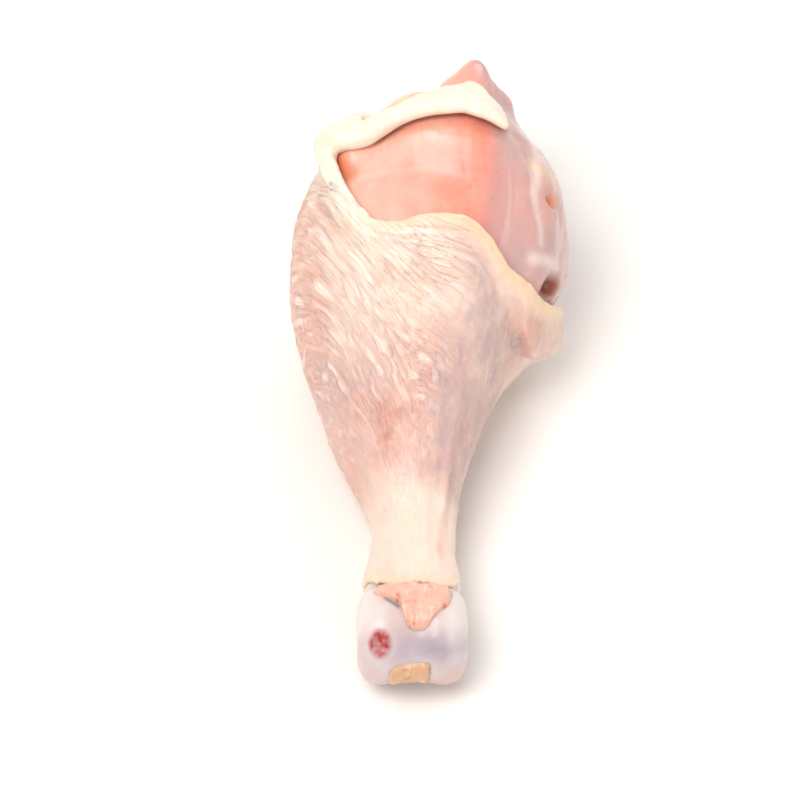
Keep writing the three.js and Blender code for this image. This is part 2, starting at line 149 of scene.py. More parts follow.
class Noise:
    """Seeded gradient noise, about -1 to 1, over points given in cells."""

    def __init__(self, seed: int) -> None:
        """Draws the lattice's order and its gradients.

        Args:
            seed: picks one pattern.
        """
        draw = np.random.default_rng(seed)
        self.order = draw.permutation(256)
        turned = draw.normal(size=(256, 3))
        self.gradients = turned / np.linalg.norm(turned, axis=1, keepdims=True)

    def at(self, *axes: Values) -> Values:
        """Evaluates the noise.

        Args:
            axes: one, two or three arrays of coordinates, in cells.

        Returns:
            The noise, about -1 to 1.
        """
        filled = [np.asarray(a, float) for a in axes] + [np.zeros_like(axes[0], float)] * (3 - len(axes))
        cell = [np.floor(a).astype(int) for a in filled]
        part = [a - c for a, c in zip(filled, cell)]
        ease = [p * p * p * (p * (p * 6 - 15) + 10) for p in part]
        total = np.zeros_like(part[0])
        for i in (0, 1):
            for j in (0, 1):
                for k in (0, 1) if len(axes) > 2 else (0,):
                    corner = self.order[(cell[0] + i) % 256]
                    corner = self.order[(corner + cell[1] + j) % 256]
                    corner = self.order[(corner + cell[2] + k) % 256]
                    slope = self.gradients[corner]
                    value = sum(slope[:, n] * (part[n] - o) for n, o in enumerate((i, j, k)))
                    share = np.ones_like(value)
                    for n, o in enumerate((i, j, k)):
                        share = share * (ease[n] if o else 1 - ease[n])
                    total += value * share
        return total * 1.7

    def cloud(self, points: Points, size: float, octaves: int = 2) -> Values:
        """Layers the noise over solid space.

        Args:
            points: places in millimetres, one row each.
            size: millimetres of the coarsest cell.
            octaves: how many layers, each half as coarse and half as strong.

        Returns:
            The layered noise, about -1 to 1.
        """
        total = np.zeros(len(points))
        for octave in range(octaves):
            scaled = points * (2**octave / size) + 17.3 * octave
            total += self.at(scaled[:, 0], scaled[:, 1], scaled[:, 2]) / 2**octave
        return total


# ---- Small Blender helpers ----


def deselect_all() -> None:
    """Clears the selection, because an operator acts on all that is selected."""
    bpy.ops.object.select_all(action="DESELECT")


def focus(piece: bpy.types.Object) -> None:
    """Selects one piece alone and makes it active.

    Args:
        piece: the piece.
    """
    deselect_all()
    piece.select_set(True)
    bpy.context.view_layer.objects.active = piece


def coordinates(piece: bpy.types.Object) -> Points:
    """Reads a piece's vertices.

    Args:
        piece: the piece.

    Returns:
        Their places, one row each, in the piece's own units.
    """
    flat = np.zeros(len(piece.data.vertices) * 3, np.float32)
    piece.data.vertices.foreach_get("co", flat)
    return flat.reshape(-1, 3).astype(float)


def place(piece: bpy.types.Object, points: Points) -> None:
    """Moves a piece's vertices.

    Args:
        piece: the piece.
        points: places in the leg's own millimetres, one row for each vertex.
    """
    flat = ((points - ORIGIN) * MM).astype(np.float32).ravel()
    piece.data.vertices.foreach_set("co", flat)
    piece.data.update()


def leg_points(piece: bpy.types.Object) -> Points:
    """Returns a finished piece's vertices in the leg's own millimetres."""
    return coordinates(piece) / MM + ORIGIN


def set_mask(piece: bpy.types.Object, mask: Mask, values: Values) -> None:
    """Writes a mask into the piece's mesh, for its material to read."""
    layer = piece.data.attributes.new(mask.value, "FLOAT", "POINT")
    layer.data.foreach_set("value", np.clip(values, 0, 1).astype(np.float32))


def set_grain(piece: bpy.types.Object, places: Points) -> None:
    """Writes where each vertex lies across and along the grain of its surface, for its material to read."""
    layer = piece.data.attributes.new(GRAIN, "FLOAT_VECTOR", "POINT")
    layer.data.foreach_set("vector", places.astype(np.float32).ravel())


def close_seams(piece: bpy.types.Object) -> None:
    """Merges the vertices that meet at a seam, turns all faces outwards and shades them smooth.

    Args:
        piece: the piece.
    """
    focus(piece)
    bpy.ops.object.mode_set(mode="EDIT")
    bpy.ops.mesh.select_all(action="SELECT")
    bpy.ops.mesh.remove_doubles(threshold=1e-6)
    bpy.ops.mesh.normals_make_consistent(inside=False)
    bpy.ops.object.mode_set(mode="OBJECT")
    bpy.ops.object.shade_smooth()


def add_ball(name: str, segments: int, rings: int) -> tuple[bpy.types.Object, Values, Values]:
    """Adds a unit ball to be shaped, with its poles at the ends of its length.

    Args:
        name: the piece's name.
        segments: faces round it.
        rings: faces from pole to pole.

    Returns:
        The piece, each vertex's turn in degrees, and its share of the way from pole to pole.
    """
    deselect_all()
    bpy.ops.mesh.primitive_uv_sphere_add(segments=segments, ring_count=rings, radius=1.0)
    piece = bpy.context.object
    piece.name = piece.data.name = name
    ball = coordinates(piece)
    turn = np.degrees(np.arctan2(ball[:, 0], ball[:, 1]))
    share = np.arctan2(np.hypot(ball[:, 0], ball[:, 1]), -ball[:, 2]) / math.pi
    return piece, turn, share


def ball_points(turn: Values, share: Values) -> Points:
    """Works out places on a unit ball.

    Args:
        turn: turns round it, in degrees.
        share: shares of the way from its lower to its upper pole.

    Returns:
        The places, one row each.
    """
    sine, cosine = sine_cosine(turn)
    spread = np.sin(share * math.pi)
    return np.stack([spread * sine, spread * cosine, -np.cos(share * math.pi)], axis=1)


def add_sheet(name: str, columns: int, rows: int) -> tuple[bpy.types.Object, Values, Values]:
    """Adds a flat grid to be shaped.

    Args:
        name: the piece's name.
        columns: faces across it.
        rows: faces along it.

    Returns:
        The piece, and each vertex's share of the way across and along.
    """
    deselect_all()
    bpy.ops.mesh.primitive_grid_add(x_subdivisions=columns, y_subdivisions=rows, size=1.0)
    piece = bpy.context.object
    piece.name = piece.data.name = name
    flat = coordinates(piece)
    return piece, flat[:, 0] + 0.5, flat[:, 1] + 0.5


def union(piece: bpy.types.Object, others: list[bpy.types.Object]) -> None:
    """Joins other closed pieces into one with the Boolean modifier, and removes them.

    Args:
        piece: the piece that they become part of.
        others: the pieces that are joined to it.
    """
    for other in others:
        focus(piece)
        joined = piece.modifiers.new("join", "BOOLEAN")
        joined.operation = "UNION"
        joined.solver = "EXACT"
        joined.object = other
        bpy.ops.object.modifier_apply(modifier=joined.name)
        bpy.data.objects.remove(other)


def melt(piece: bpy.types.Object, cell: float, passes: int) -> None:
    """Rebuilds a piece's surface in even cells and softens it, so that parts that cross flow into one.

    Args:
        piece: the closed piece.
        cell: millimetres across a cell.
        passes: how often it is softened.
    """
    focus(piece)
    even = piece.modifiers.new("even", "REMESH")
    even.mode = "VOXEL"
    even.voxel_size = cell * MM
    bpy.ops.object.modifier_apply(modifier=even.name)
    soft = piece.modifiers.new("soft", "SMOOTH")
    soft.factor = 0.5
    soft.iterations = passes
    bpy.ops.object.modifier_apply(modifier=soft.name)
    bpy.ops.object.shade_smooth()


# ---- The form that every layer follows ----


@dataclass(frozen=True)
class LegForm:
    """The leg's smooth outside and the large relief on it, in millimetres.

    Angles are degrees round the leg: 0 is up, 90 is right and -90 left, seen from the ankle.
    """

    neck_half_width: float = 8.1
    belly_half_width: float = 27.0
    neck_top: float = 17.6
    belly_top: float = 47.0
    neck_lift: float = 2.4
    floor_sag: float = 1.8
    knee_slant: float = 10.0
    skin: float = 1.6  # the skin's thickness
    gap: float = 0.45  # between the meat and the strap, or the meat and the skin under it
    slack: float = 0.6  # between the meat and the sleeve
    neck_y: float = 24.0  # where the neck starts to swell
    cap_left: float = 86.0  # where the left side starts to round off to the knee end
    cap_right: float = 88.0  # where the right side does
    cap_power: float = 2.3  # 2 rounds the knee end as an ellipse does, and more is squarer
    section_power: float = 2.2  # the same for the sections
    hem_y: float = 16.6  # the sleeve's ankle end, on top
    lip_y: float = 81.2  # the sleeve's mouth, on top
    left_rise: float = 35.0  # how far past it the mouth's left side reaches
    right_dip: float = 6.2  # how far short of it the right side stays
    underside_y: float = 101.0  # the mouth, underneath
    pouch_rise: float = 2.8  # how far the slack skin stands off at the right

    def spine(self, y: Values) -> tuple[Values, Values, Values]:
        """Follows the middle of the leg.

        Args:
            y: millimetres along the leg.

        Returns:
            The middle's x and z, and half the height of the section there.
        """
        top = lerp(self.neck_top, self.belly_top, smooth(y, self.neck_y, 92))
        lift = self.neck_lift * smooth(y, 12, self.neck_y) * (1 - smooth(y, 30, 62))
        bottom = lift - self.floor_sag * smooth(y, 55, 80)
        return SIDE_LEAN * smooth(y, 45, 92), (top + bottom) / 2, (top - bottom) / 2

    def half_width(self, angle: Values, y: Values) -> Values:
        """Works out half the leg's width: the left swells in one sweep, the right in two.

        Args:
            angle: degrees round the leg.
            y: millimetres along it.

        Returns:
            Half the width, in millimetres.
        """
        swell = self.belly_half_width - self.neck_half_width
        left = swell * smooth(y, 27, 86)
        right = swell * (0.78 * smooth(y, 33, 94) + 0.24 * smooth(y, 66, 81))
        flare = 2.4 * (1 - smooth(y, 15.5, 27.5))
        return self.neck_half_width + np.where(angle < 0, left, right) + flare

    def cap_share(self, angle: Values, y: Values) -> Values:
        """Rounds the leg off towards its knee end.

        Args:
            angle: degrees round the leg.
            y: millimetres along it.

        Returns:
            What the section is scaled by, from 1 down to 0.
        """
        start = lerp(self.cap_left, self.cap_right, (1 + np.sin(np.radians(angle))) / 2)
        along = np.clip((y - start) / (LEG_LENGTH - start), 0, 1)
        return np.maximum(0, 1 - along**self.cap_power) ** (1 / self.cap_power)

    def point(self, angle: Values, y: Values) -> Points:
        """Works out places on the meat's smooth outside.

        Args:
            angle: degrees round the leg.
            y: millimetres along it.

        Returns:
            The places, one row each.
        """
        x, z, half = self.spine(y)
        sine, cosine = sine_cosine(angle)
        wrapped = angle - 360 * np.round(angle / 360)
        across = np.abs(sine) / (self.half_width(wrapped, y) - self.skin - self.slack)
        up = np.abs(cosine) / (half - self.skin - self.slack)
        tight = (across**self.section_power + up**self.section_power) ** (-1 / self.section_power)
        radius = tight * self.cap_share(angle, y)
        sideways = radius * sine
        slant = self.knee_slant * smooth(-sideways / self.belly_half_width, 0, 1) * smooth(y, 88, 118)
        return np.stack([x + sideways, y - slant, z + radius * cosine], axis=1)

    def normal(self, angle: Values, y: Values) -> Points:
        """Works out which way the meat's smooth outside faces.

        Args:
            angle: degrees round the leg.
            y: millimetres along it.

        Returns:
            The outward directions, one row each.
        """
        ahead = np.minimum(y + 0.5, LEG_LENGTH - 0.2)
        around = self.point(angle + 2, y) - self.point(angle - 2, y)
        along = self.point(angle, ahead) - self.point(angle, ahead - 1.0)
        return unit_rows(np.cross(around, along))

    def layer(self, angle: Values, y: Values, height: Values, floor: float) -> Points:
        """Works out places at a height over the form, kept above the floor.

        Args:
            angle: degrees round the leg.
            y: millimetres along it.
            height: millimetres over the form.
            floor: the lowest z that a place may have.

        Returns:
            The places, one row each.
        """
        points = self.point(angle, y) + self.normal(angle, y) * np.asarray(height)[:, None]
        points[:, 2] = np.maximum(points[:, 2], floor)
        return points

    def mouth_y(self, angle: Values) -> Values:
        """Draws the edge of the skin's mouth.

        Args:
            angle: degrees round the leg.

        Returns:
            Where the sleeve of skin ends at the knee side, in millimetres along the leg.
        """
        top = self.lip_y - 1.2 * bump(angle, -15, 9) - 2.0 * bump(angle, -46, 9)
        corner = top + self.left_rise * smooth(-angle, 24.5, 66.5)
        left = lerp(corner, self.underside_y, smooth(-angle, 100, 180))
        right = lerp(top - self.right_dip * smooth(angle, 14, 50), self.underside_y, smooth(angle, 60, 180))
        return np.where(angle < 0, left, right)

    def ankle_hem_y(self, angle: Values) -> Values:
        """Returns where the sleeve of skin starts at the ankle."""
        return self.hem_y + 5 * smooth(np.abs(angle), 25, 110) + 0.4 * np.sin(np.radians(5 * angle))

    def corner_roll(self, angle: Values, y: Values) -> Values:
        """Returns the thick roll of fat where the strap leaves the mouth."""
        return near_line(angle, y, (-46, 114.5), (-53, 115.5), 3.8)

    def pouch(self, angle: Values, y: Values) -> Values:
        """Slackens the skin at the right of its mouth.

        Args:
            angle: degrees round the leg.
            y: millimetres along it.

        Returns:
            How far it stands off the meat.
        """
        around = smooth(angle, 50, 80) * (1 - smooth(angle, 106, 126))
        hem = 72.2 - 2.6 * smooth(angle, 50, 68) + 5.0 * smooth(angle, 90, 110)
        rise = smooth(y - hem, 0, 3.0)
        settled = 0.85 * (1 - smooth(self.mouth_y(angle) - y, 0.5, 4.5))
        return self.pouch_rise * around * rise * (1 - settled)

    def muscle_swell(self, angle: Values, y: Values) -> Values:
        """Adds up the swellings of the muscles.

        Args:
            angle: degrees round the leg.
            y: millimetres along it.

        Returns:
            Their height over the form.
        """
        calf = 1.4 * bump(angle, -6, 30) * bump(y, 97, 14)
        past_mouth = smooth(y - self.mouth_y(angle), -3, 7) * (1 - smooth(y, 98, 115))
        outer = 1.8 * smooth(angle, 34, 60) * (1 - smooth(angle, 104, 140)) * past_mouth
        lobe = 0.9 * near_line(angle, y, (62, 107), (64, 98), 4.2)
        nub = 1.3 * near_spot(angle, y, (60, 78), 3.2)
        flap = 3.0 * near_line(angle, y, (16, 127.4), (60, 124.0), 3.3)
        tip = 4.0 * near_spot(angle, y, (38, 127.8), 4.0)
        knee_slope = -5.2 * near_line(angle, y, (-40, 118), (4, 124), 6.5)
        calf_end = -2.3 * bump(angle, -80, 34) * bump(y, 37, 7)
        corner = 1.5 * near_line(angle, y, (-46, 104), (-40, 101), 3.0)
        return calf + outer + lobe + nub + flap + tip + knee_slope + calf_end + corner

    def corner_fill(self, angle: Values, y: Values) -> Values:
        """Returns how far the flesh rises into the corner under the strap."""
        return 1.9 * near_line(angle, y, (-50, 109), (-37, 103.5), 3.1)


# ---- Skin ----


@dataclass(frozen=True)
class SkinRelief:
    """The folds, wrinkles and follicles of the skin, in millimetres."""

    form: LegForm
    fold_height: float = 1.0
    fold_reach: float = 1.2
    wrinkle_size: float = 1.9
    fine_size: float = 0.95
    comb_steps: int = 14
    comb_step: float = 0.5
    follicle_rows: float = 3.7
    follicle_columns: int = 30
    follicle_reach: float = 0.85
    follicle_drift: float = 0.24
    repeat_rows: int = 64

    def folds(self, angle: Values, y: Values) -> Values:
        """Draws the folds that fan out from the left side of the mouth.

        Args:
            angle: degrees round the leg.
            y: millimetres along it.

        Returns:
            Their height.
        """
        lines = (
            ((-47, 96), (-33, 80)),
            ((-52, 93), (-22, 73)),
            ((-58, 90), (-30, 71)),
            ((-60, 84), (-14, 69)),
            ((-66, 80), (-8, 74)),
            ((-58, 74), (-20, 60)),
            ((-40, 84), (-6, 76.5)),
            ((4, 75.5), (28, 72)),
        )
        raised = sum(near_line(angle, y, start, end, self.fold_reach) for start, end in lines)
        share = smooth(y, 52, 60) * smooth(self.form.mouth_y(angle) - y, 0, 5)
        return self.fold_height * (raised - 0.35) * share

    def large(self, angle: Values, y: Values) -> Values:
        """Adds up the folds, and the creases and cords that show through the skin.

        Args:
            angle: degrees round the leg.
            y: millimetres along it.

        Returns:
            Their height, where the deepest creases are rounded off.
        """
        pouch_crease = -0.7 * near_line(angle, y, (42, 73.5), (58, 71), 1.0)
        from_mouth = self.form.mouth_y(angle) - y
        lip_crease = -0.55 * bump(from_mouth, 2.9, 0.9) * smooth(angle, 14, 30) * (1 - smooth(angle, 84, 104))
        tendon_ridge = 0.7 * near_line(angle, y, (36, 52), (40, 34), 2)
        tendon_groove = -0.5 * near_line(angle, y, (52, 52), (56, 30), 2.4)
        dimple = -0.5 * near_spot(angle, y, (-28, 47.5), 5)
        total = pouch_crease + lip_crease + tendon_ridge + tendon_groove + dimple + self.folds(angle, y)
        return np.where(total < -0.5, -0.5 - 0.5 * np.tanh(2 * (-0.5 - total)), total)

    def lean(self, angle: Values) -> Values:
        """Says how steeply the wrinkles run.

        Args:
            angle: degrees round the leg.

        Returns:
            Millimetres along the leg for each one round it.
        """
        turns = (-180, -110, -75, -60, -35, -22, -10, 0, 11, 30, 55, 75, 100, 180)
        leans = (0, -0.1, -0.5, -1.2, -1.5, -1.05, -0.7, -0.4, -0.2, -0.2, -0.8, -1.2, -0.3, 0)
        return np.interp(angle, turns, leans)

    def grain(self, angle: Values, y: Values) -> Points:
        """Lays out the grain that the wrinkles follow.

        Args:
            angle: degrees round the leg.
            y: millimetres along it.

        Returns:
            Each place across the wrinkles and, drawn out, along them, in metres.
        """
        turns = np.linspace(-180, 180, 721)
        risen = np.concatenate([[0], np.cumsum(self.lean(turns[1:]) * np.diff(turns) * DEGREE_WIDTH)])
        across_them = y - np.interp(angle, turns, risen)
        return np.stack([across_them, angle * DEGREE_WIDTH * 0.16, 0 * y], axis=1) * MM

    def slope(self, across: Values, y: Values) -> Values:
        """Works out the wrinkles' lean, which near the mouth turns to follow its lip.

        Args:
            across: millimetres round the leg.
            y: millimetres along it.

        Returns:
            Millimetres along the leg for each one round it.
        """
        angle = across / DEGREE_WIDTH
        lip = (self.form.mouth_y(angle + 2) - self.form.mouth_y(angle - 2)) / (4 * DEGREE_WIDTH)
        below_lip = self.form.mouth_y(angle) - y
        follows = bump(np.maximum(below_lip, 0), 0, 8) * smooth(angle, -50, -40) * (1 - smooth(angle, 60, 80))
        return lerp(self.lean(angle), np.clip(lip - 0.15, -2.3, 0.3), follows)

    def combed(
        self, angle: Values, y: Values, size: float, seed: int, turn: float = 0.0, drag: float = 1.0
    ) -> Values:
        """Drags noise along the way that the wrinkles run, so that it draws out into strands.

        Args:
            angle: degrees round the leg.
            y: millimetres along it.
            size: millimetres across a strand.
            seed: picks the pattern.
            turn: degrees by which the strands leave the wrinkles' way.
            drag: how long the strands are, as a share of the longest.

        Returns:
            The strands' height, with a spread of about 1. They are long near the mouth and short below it.
        """
        noise, wander = Noise(seed), Noise(seed + 1)
        start_across, start_y = angle * DEGREE_WIDTH, y
        aside = wander.at(start_across / (5 * size), start_y / (5 * size))
        start_across = start_across + 0.6 * size * aside
        start_y = start_y + 0.6 * size * wander.at(start_across / (4.6 * size) + 9.5, start_y / (4.6 * size))
        total = noise.at(start_across / size, start_y / size)
        spread = np.ones_like(total)
        reach = self.comb_steps * lerp(0.4, 1.0, smooth(y + 0.12 * angle, 56, 74)) * drag
        for way in (-1, 1):
            across, along = start_across.copy(), start_y.copy()
            for step in range(1, self.comb_steps):
                heading = np.arctan(self.slope(across, along)) + math.radians(turn)
                pace = way * self.comb_step * size / self.wrinkle_size
                across = across + pace * np.cos(heading)
                along = along + pace * np.sin(heading)
                share = np.cos(0.5 * math.pi * np.minimum(step / reach, 1)) ** 2
                total += noise.at(across / size, along / size) * share
                spread += share
        total = total / spread**0.75
        return total / max(float(np.std(total)), 1e-6)

    def follicles(self, angle: Values, y: Values) -> Values:
        """Sets the feather follicles' low domes in staggered rows round the leg.

        Args:
            angle: degrees round the leg.
            y: millimetres along it.

        Returns:
            Their height, as a share of a full dome.
        """
        draw = np.random.default_rng(5)
        cells = (self.repeat_rows, self.follicle_columns)
        jitter = draw.uniform(-self.follicle_drift, self.follicle_drift, size=(*cells, 2))
        strength = draw.uniform(0.35, 1.0, size=cells)
        row = y / self.follicle_rows
        total = np.zeros_like(y)
        for row_step in (-1, 0, 1):
            at_row = np.floor(row).astype(int) + row_step
            column = angle / 360 * self.follicle_columns + 0.5 * (at_row % 2)
            for column_step in (-1, 0, 1):
                at_column = np.floor(column).astype(int) + column_step
                key = (at_row % self.repeat_rows, at_column % self.follicle_columns)
                off_row = (row - at_row - 0.5 - jitter[key][:, 0]) * self.follicle_rows
                off_column = column - at_column - 0.5 - jitter[key][:, 1]
                width = 360 / self.follicle_columns * DEGREE_WIDTH * lerp(0.35, 1.05, smooth(y, 20, 80))
                total += strength[key] * bump(np.hypot(off_row, off_column * width), 0, self.follicle_reach)
        return total

    def fine(self, angle: Values, y: Values, points: Points) -> tuple[Values, Values]:
        """Works out the wrinkles and follicles.

        Args:
            angle: degrees round the leg.
            y: millimetres along it.
            points: the same places in space, in millimetres.

        Returns:
            The height over the smooth skin, and where painted light and shade go: from a painted highlight on
            a crest, 0, to painted shade in a wrinkle's depth, 1.
        """
        strands = self.combed(angle, y, self.wrinkle_size, 11)
        crossing = self.combed(angle, y, 1.7 * self.wrinkle_size, 15, 64.0, 0.6)
        thin = self.combed(angle, y, self.fine_size, 23)
        share = self.share(angle, y, points)
        groove = 1 - smooth(np.abs(strands), 0.0, 0.62)
        thin_groove = (1 - smooth(np.abs(thin), 0.0, 0.55)) * (1 - 0.6 * groove)
        break_up = 1 - smooth(np.abs(crossing), 0.0, 0.3)
        ridge = smooth(strands, 0.1, 2.0)
        neck = 1 - smooth(y, 34, 48)
        sine, cosine = sine_cosine(angle)
        sinew = Noise(31).at(cosine * 7, sine * 7, y / 13) * neck
        rumple = Noise(37).cloud(points, 5.5, 3)
        crepe = Noise(41).cloud(points, 1.7, 2)
        dome = self.follicles(angle, y) * (1 - 0.7 * share) * smooth(y, 26, 42)
        height = (0.22 * ridge - 0.36 * groove - 0.09 * thin_groove - 0.1 * break_up + 0.2) * share
        height = height + 0.09 * sinew + 0.2 * rumple + 0.05 * crepe + 0.26 * dome
        # From a painted highlight on the ridges to painted shade in the grooves.
        depth = groove + 0.25 * thin_groove + 0.2 * break_up - 0.75 * ridge - 0.2
        return height, 0.5 + 0.5 * np.clip(depth * share, -1, 1)

    def share(self, angle: Values, y: Values, points: Points) -> Values:
        """Says how wrinkled the skin is: most at the left of its mouth, least at the neck and the right.

        Args:
            angle: degrees round the leg.
            y: millimetres along it.
            points: places in space, in millimetres, one row each.

        Returns:
            0 where it is smooth, to about 1.
        """
        front = 0.55 * smooth(y, 36, 58) + 0.45 * smooth(y - 0.1 * angle, 62, 76)
        right = 1 - 0.72 * smooth(angle, 6, 34) * (1 - 0.45 * smooth(angle, 50, 62))
        sides = (1 - 0.45 * smooth(-angle, 66, 100)) * (1 - 0.5 * smooth(angle, 96, 130))
        patchy = 0.72 + 0.4 * smooth(Noise(29).cloud(points, 9, 2), -0.5, 0.5)
        return (0.12 + 0.88 * front) * right * sides * patchy * (1 - smooth(np.abs(angle), 160, 178))


@dataclass
class Skin:
    """The loose sleeve of skin round the meat, and the strap that leaves it and crosses the bare meat."""

    form: LegForm
    relief: SkinRelief
    columns: int = 420
    outside_rows: int = 200
    lip_rows: int = 9
    inside_rows: int = 12
    hem_rows: int = 6
    top_crowding: float = 0.32
    lip_bulge: float = 1.0
    hem_bulge: float = 0.7
    strap_turns: int = 96
    strap_rows: int = 420
    strap_roundness: float = 0.85
    strap_tip: float = 0.045
    strap_root: float = 0.04
    steady_from: float = 3.4  # the point of its course up to which the tip keeps one direction
    melt_cell: float = 0.28
    melt_passes: int = 9
    bend_lump: tuple[float, float, float] = (-35.0, 112.0, 1.7)
    lump_half: tuple[float, float, float] = (3.6, 2.8, 2.4)
    lump_faces: tuple[int, int] = (32, 24)

    def thickness(self, angle: Values, y: Values) -> Values:
        """Works out the skin's thickness with its fat, which is most at the rolled lip.

        Args:
            angle: degrees round the leg.
            y: millimetres along it.

        Returns:
            The thickness in millimetres.
        """
        from_mouth = self.form.mouth_y(angle) - y
        left = 1.0 * bump(angle, -44, 20) * bump(from_mouth, 2, 3)
        right = 0.5 * bump(angle, 44, 30) * bump(from_mouth, 1.6, 1.6)
        ankle = -0.4 * bump(y, self.form.ankle_hem_y(angle), 2)
        return self.form.skin + left + right + 0.5 * self.form.corner_roll(angle, y) + ankle

    def inner_height(self, angle: Values, y: Values) -> Values:
        """Works out where the skin's inner face lies.

        Args:
            angle: degrees round the leg.
            y: millimetres along it.

        Returns:
            Its height over the form.
        """
        loose = 0.8 * bump(angle, 10, 24) * smooth(y - self.form.mouth_y(angle), -5, 0)
        under = 0.3 * bump(angle, 125, 28)
        roll = 1.6 * self.form.corner_roll(angle, y)
        lift = 0.85 * self.form.pouch(angle, y)
        return self.form.slack + self.form.muscle_swell(angle, y) + lift + roll + loose + under

    def outer_height(self, angle: Values, y: Values) -> Values:
        """Returns how far the skin's smooth outer face is over the form."""
        top = self.thickness(angle, y) + self.relief.large(angle, y) + 0.15 * self.form.pouch(angle, y)
        return self.inner_height(angle, y) + top

    def edge_wave(self, angle: Values, seed: int) -> Values:
        """Makes a cut edge of the skin uneven.

        Args:
            angle: degrees round the leg.
            seed: picks the pattern.

        Returns:
            How far the edge is from straight, in millimetres.
        """
        sine, cosine = sine_cosine(angle)
        coarse = Noise(seed).at(cosine * 3.1, sine * 3.1)
        fine = Noise(seed + 1).at(cosine * 11, sine * 11)
        return 0.8 * coarse + 0.4 * fine

    def sleeve(self) -> bpy.types.Object:
        """Builds the sleeve: its outside, rounded lip, inside and ankle hem in one closed sheet.

        Returns:
            The sleeve.
        """
        rows = self.outside_rows + self.lip_rows + self.inside_rows + self.hem_rows
        piece, across, along = add_sheet("skin_sleeve", self.columns, rows)
        turn = (across * 2 - 1) * 180
        angle = turn - math.degrees(self.top_crowding) * np.sin(np.radians(turn))
        row = np.rint(along * rows)
        low = self.form.ankle_hem_y(angle) + 0.6 * self.edge_wave(angle, 51)
        high = self.form.mouth_y(angle) + 0.5 * self.edge_wave(angle, 61)
        out_end, lip_end = self.outside_rows, self.outside_rows + self.lip_rows
        in_end = lip_end + self.inside_rows
        out_share = 1 - (1 - np.clip(row / out_end, 0, 1)) ** 1.1
        in_share = 1 - np.clip((row - lip_end) / self.inside_rows, 0, 1)
        lip_turn = np.clip((row - out_end) / self.lip_rows, 0, 1) * math.pi
        hem_turn = np.clip((row - in_end) / self.hem_rows, 0, 1) * math.pi
        is_lip, is_hem = (row > out_end) & (row < lip_end), row > in_end
        is_inside = (row >= lip_end) & (row <= in_end)
        share = np.where(is_inside, in_share, out_share)
        share = np.where(is_lip, 1.0, np.where(is_hem, 0.0, share))
        y = lerp(low, high, share)
        smooth_points = self.form.layer(angle, y, self.outer_height(angle, y), 0.0)
        fine, painted_relief_shading = self.relief.fine(angle, y, smooth_points)
        edge_fade = smooth(np.minimum(high - y, y - low), 0, 1.6)
        fine = fine * lerp(0.25, 1.0, edge_fade)
        outer = self.outer_height(angle, y) + fine
        inner = self.inner_height(angle, y)
        middle, half = (outer + inner) / 2, (outer - inner) / 2
        height = np.where(is_inside, inner, outer)
        height = np.where(is_lip, middle + half * np.cos(lip_turn), height)
        height = np.where(is_hem, middle - half * np.cos(hem_turn), height)
        y = y + np.where(is_lip, self.lip_bulge * np.sin(lip_turn), 0)
        y = y - np.where(is_hem, self.hem_bulge * np.sin(hem_turn), 0)
        floor = np.where(is_inside, self.form.skin, 0.0)
        points = self.form.layer(angle, y, height, 0.0)
        points[:, 2] = np.maximum(points[:, 2], np.where(is_lip | is_hem, self.form.skin / 2, floor))
        lifted = smooth(self.form.pouch(angle, y), 0.6, 2.2)
        points[:, 1] -= 1.5 * lifted * (1 - smooth(y, 70.5, 74)) * np.where(is_inside, 0.8, 1.0)
        place(piece, points)
        self.tint(piece, angle, y, points, painted_relief_shading, high - y, y - low)
        close_seams(piece)
        return piece

    def tint(
        self,
        piece: bpy.types.Object,
        angle: Values,
        y: Values,
        points: Points,
        painted_relief_shading: Values,
        below_lip: Values,
        above_hem: Values,
    ) -> None:
        """Writes where fat, blush and the dark meat behind show in the sleeve, and where painted light and
        shade lie.

        Args:
            piece: the sleeve.
            angle: degrees round the leg of each vertex.
            y: millimetres along it.
            points: places in space.
            painted_relief_shading: from a painted highlight on a wrinkle's crest, 0, to painted shade in its
                depth, 1.
            below_lip: millimetres from the mouth's edge.
            above_hem: millimetres from the ankle's edge.
        """
        mottle = Noise(71).cloud(points, 13, 3)
        speckle = Noise(73).cloud(points, 3.2, 2)
        right_lip = smooth(angle, 6, 24) * (1 - smooth(angle, 110, 150))
        lip_width = 1.5 + 0.9 * bump(angle, 26, 16) + 0.6 * bump(angle, -40, 14) + 0.6 * smooth(angle, 50, 66)
        fat = (1 - smooth(below_lip, 0.3 * lip_width, lip_width)) * (0.75 + 0.25 * right_lip)
        fat = fat + 0.45 * (1 - smooth(above_hem, 0.0, 1.6)) + 0.2 * smooth(speckle, 0.1, 0.8)
        low = smooth(y, 33, 43) * (1 - smooth(y, 56, 72))
        tendon = near_line(angle, y, (40, 52), (44, 24), 3.0)
        blush = 0.22 + 0.4 * mottle + 0.6 * tendon - 0.25 * bump(y, 27, 9) - 0.26 * bump(y, 34, 9)
        # The bell at -90 degrees is painted shade: pinker and darker down the left side, where the leg turns
        # from the light.
        blush = blush + 0.6 * low + 1.5 * bump(angle, -90, 26) * smooth(y, 36, 54)
        blush = blush + 1.1 * bump(angle, 76, 20) * bump(y, 72, 4) + 0.5 * near_spot(angle, y, (-9, 51), 6)
        blush = blush - 0.3 * near_line(angle, y, (-46, 52), (-40, 66), 6)
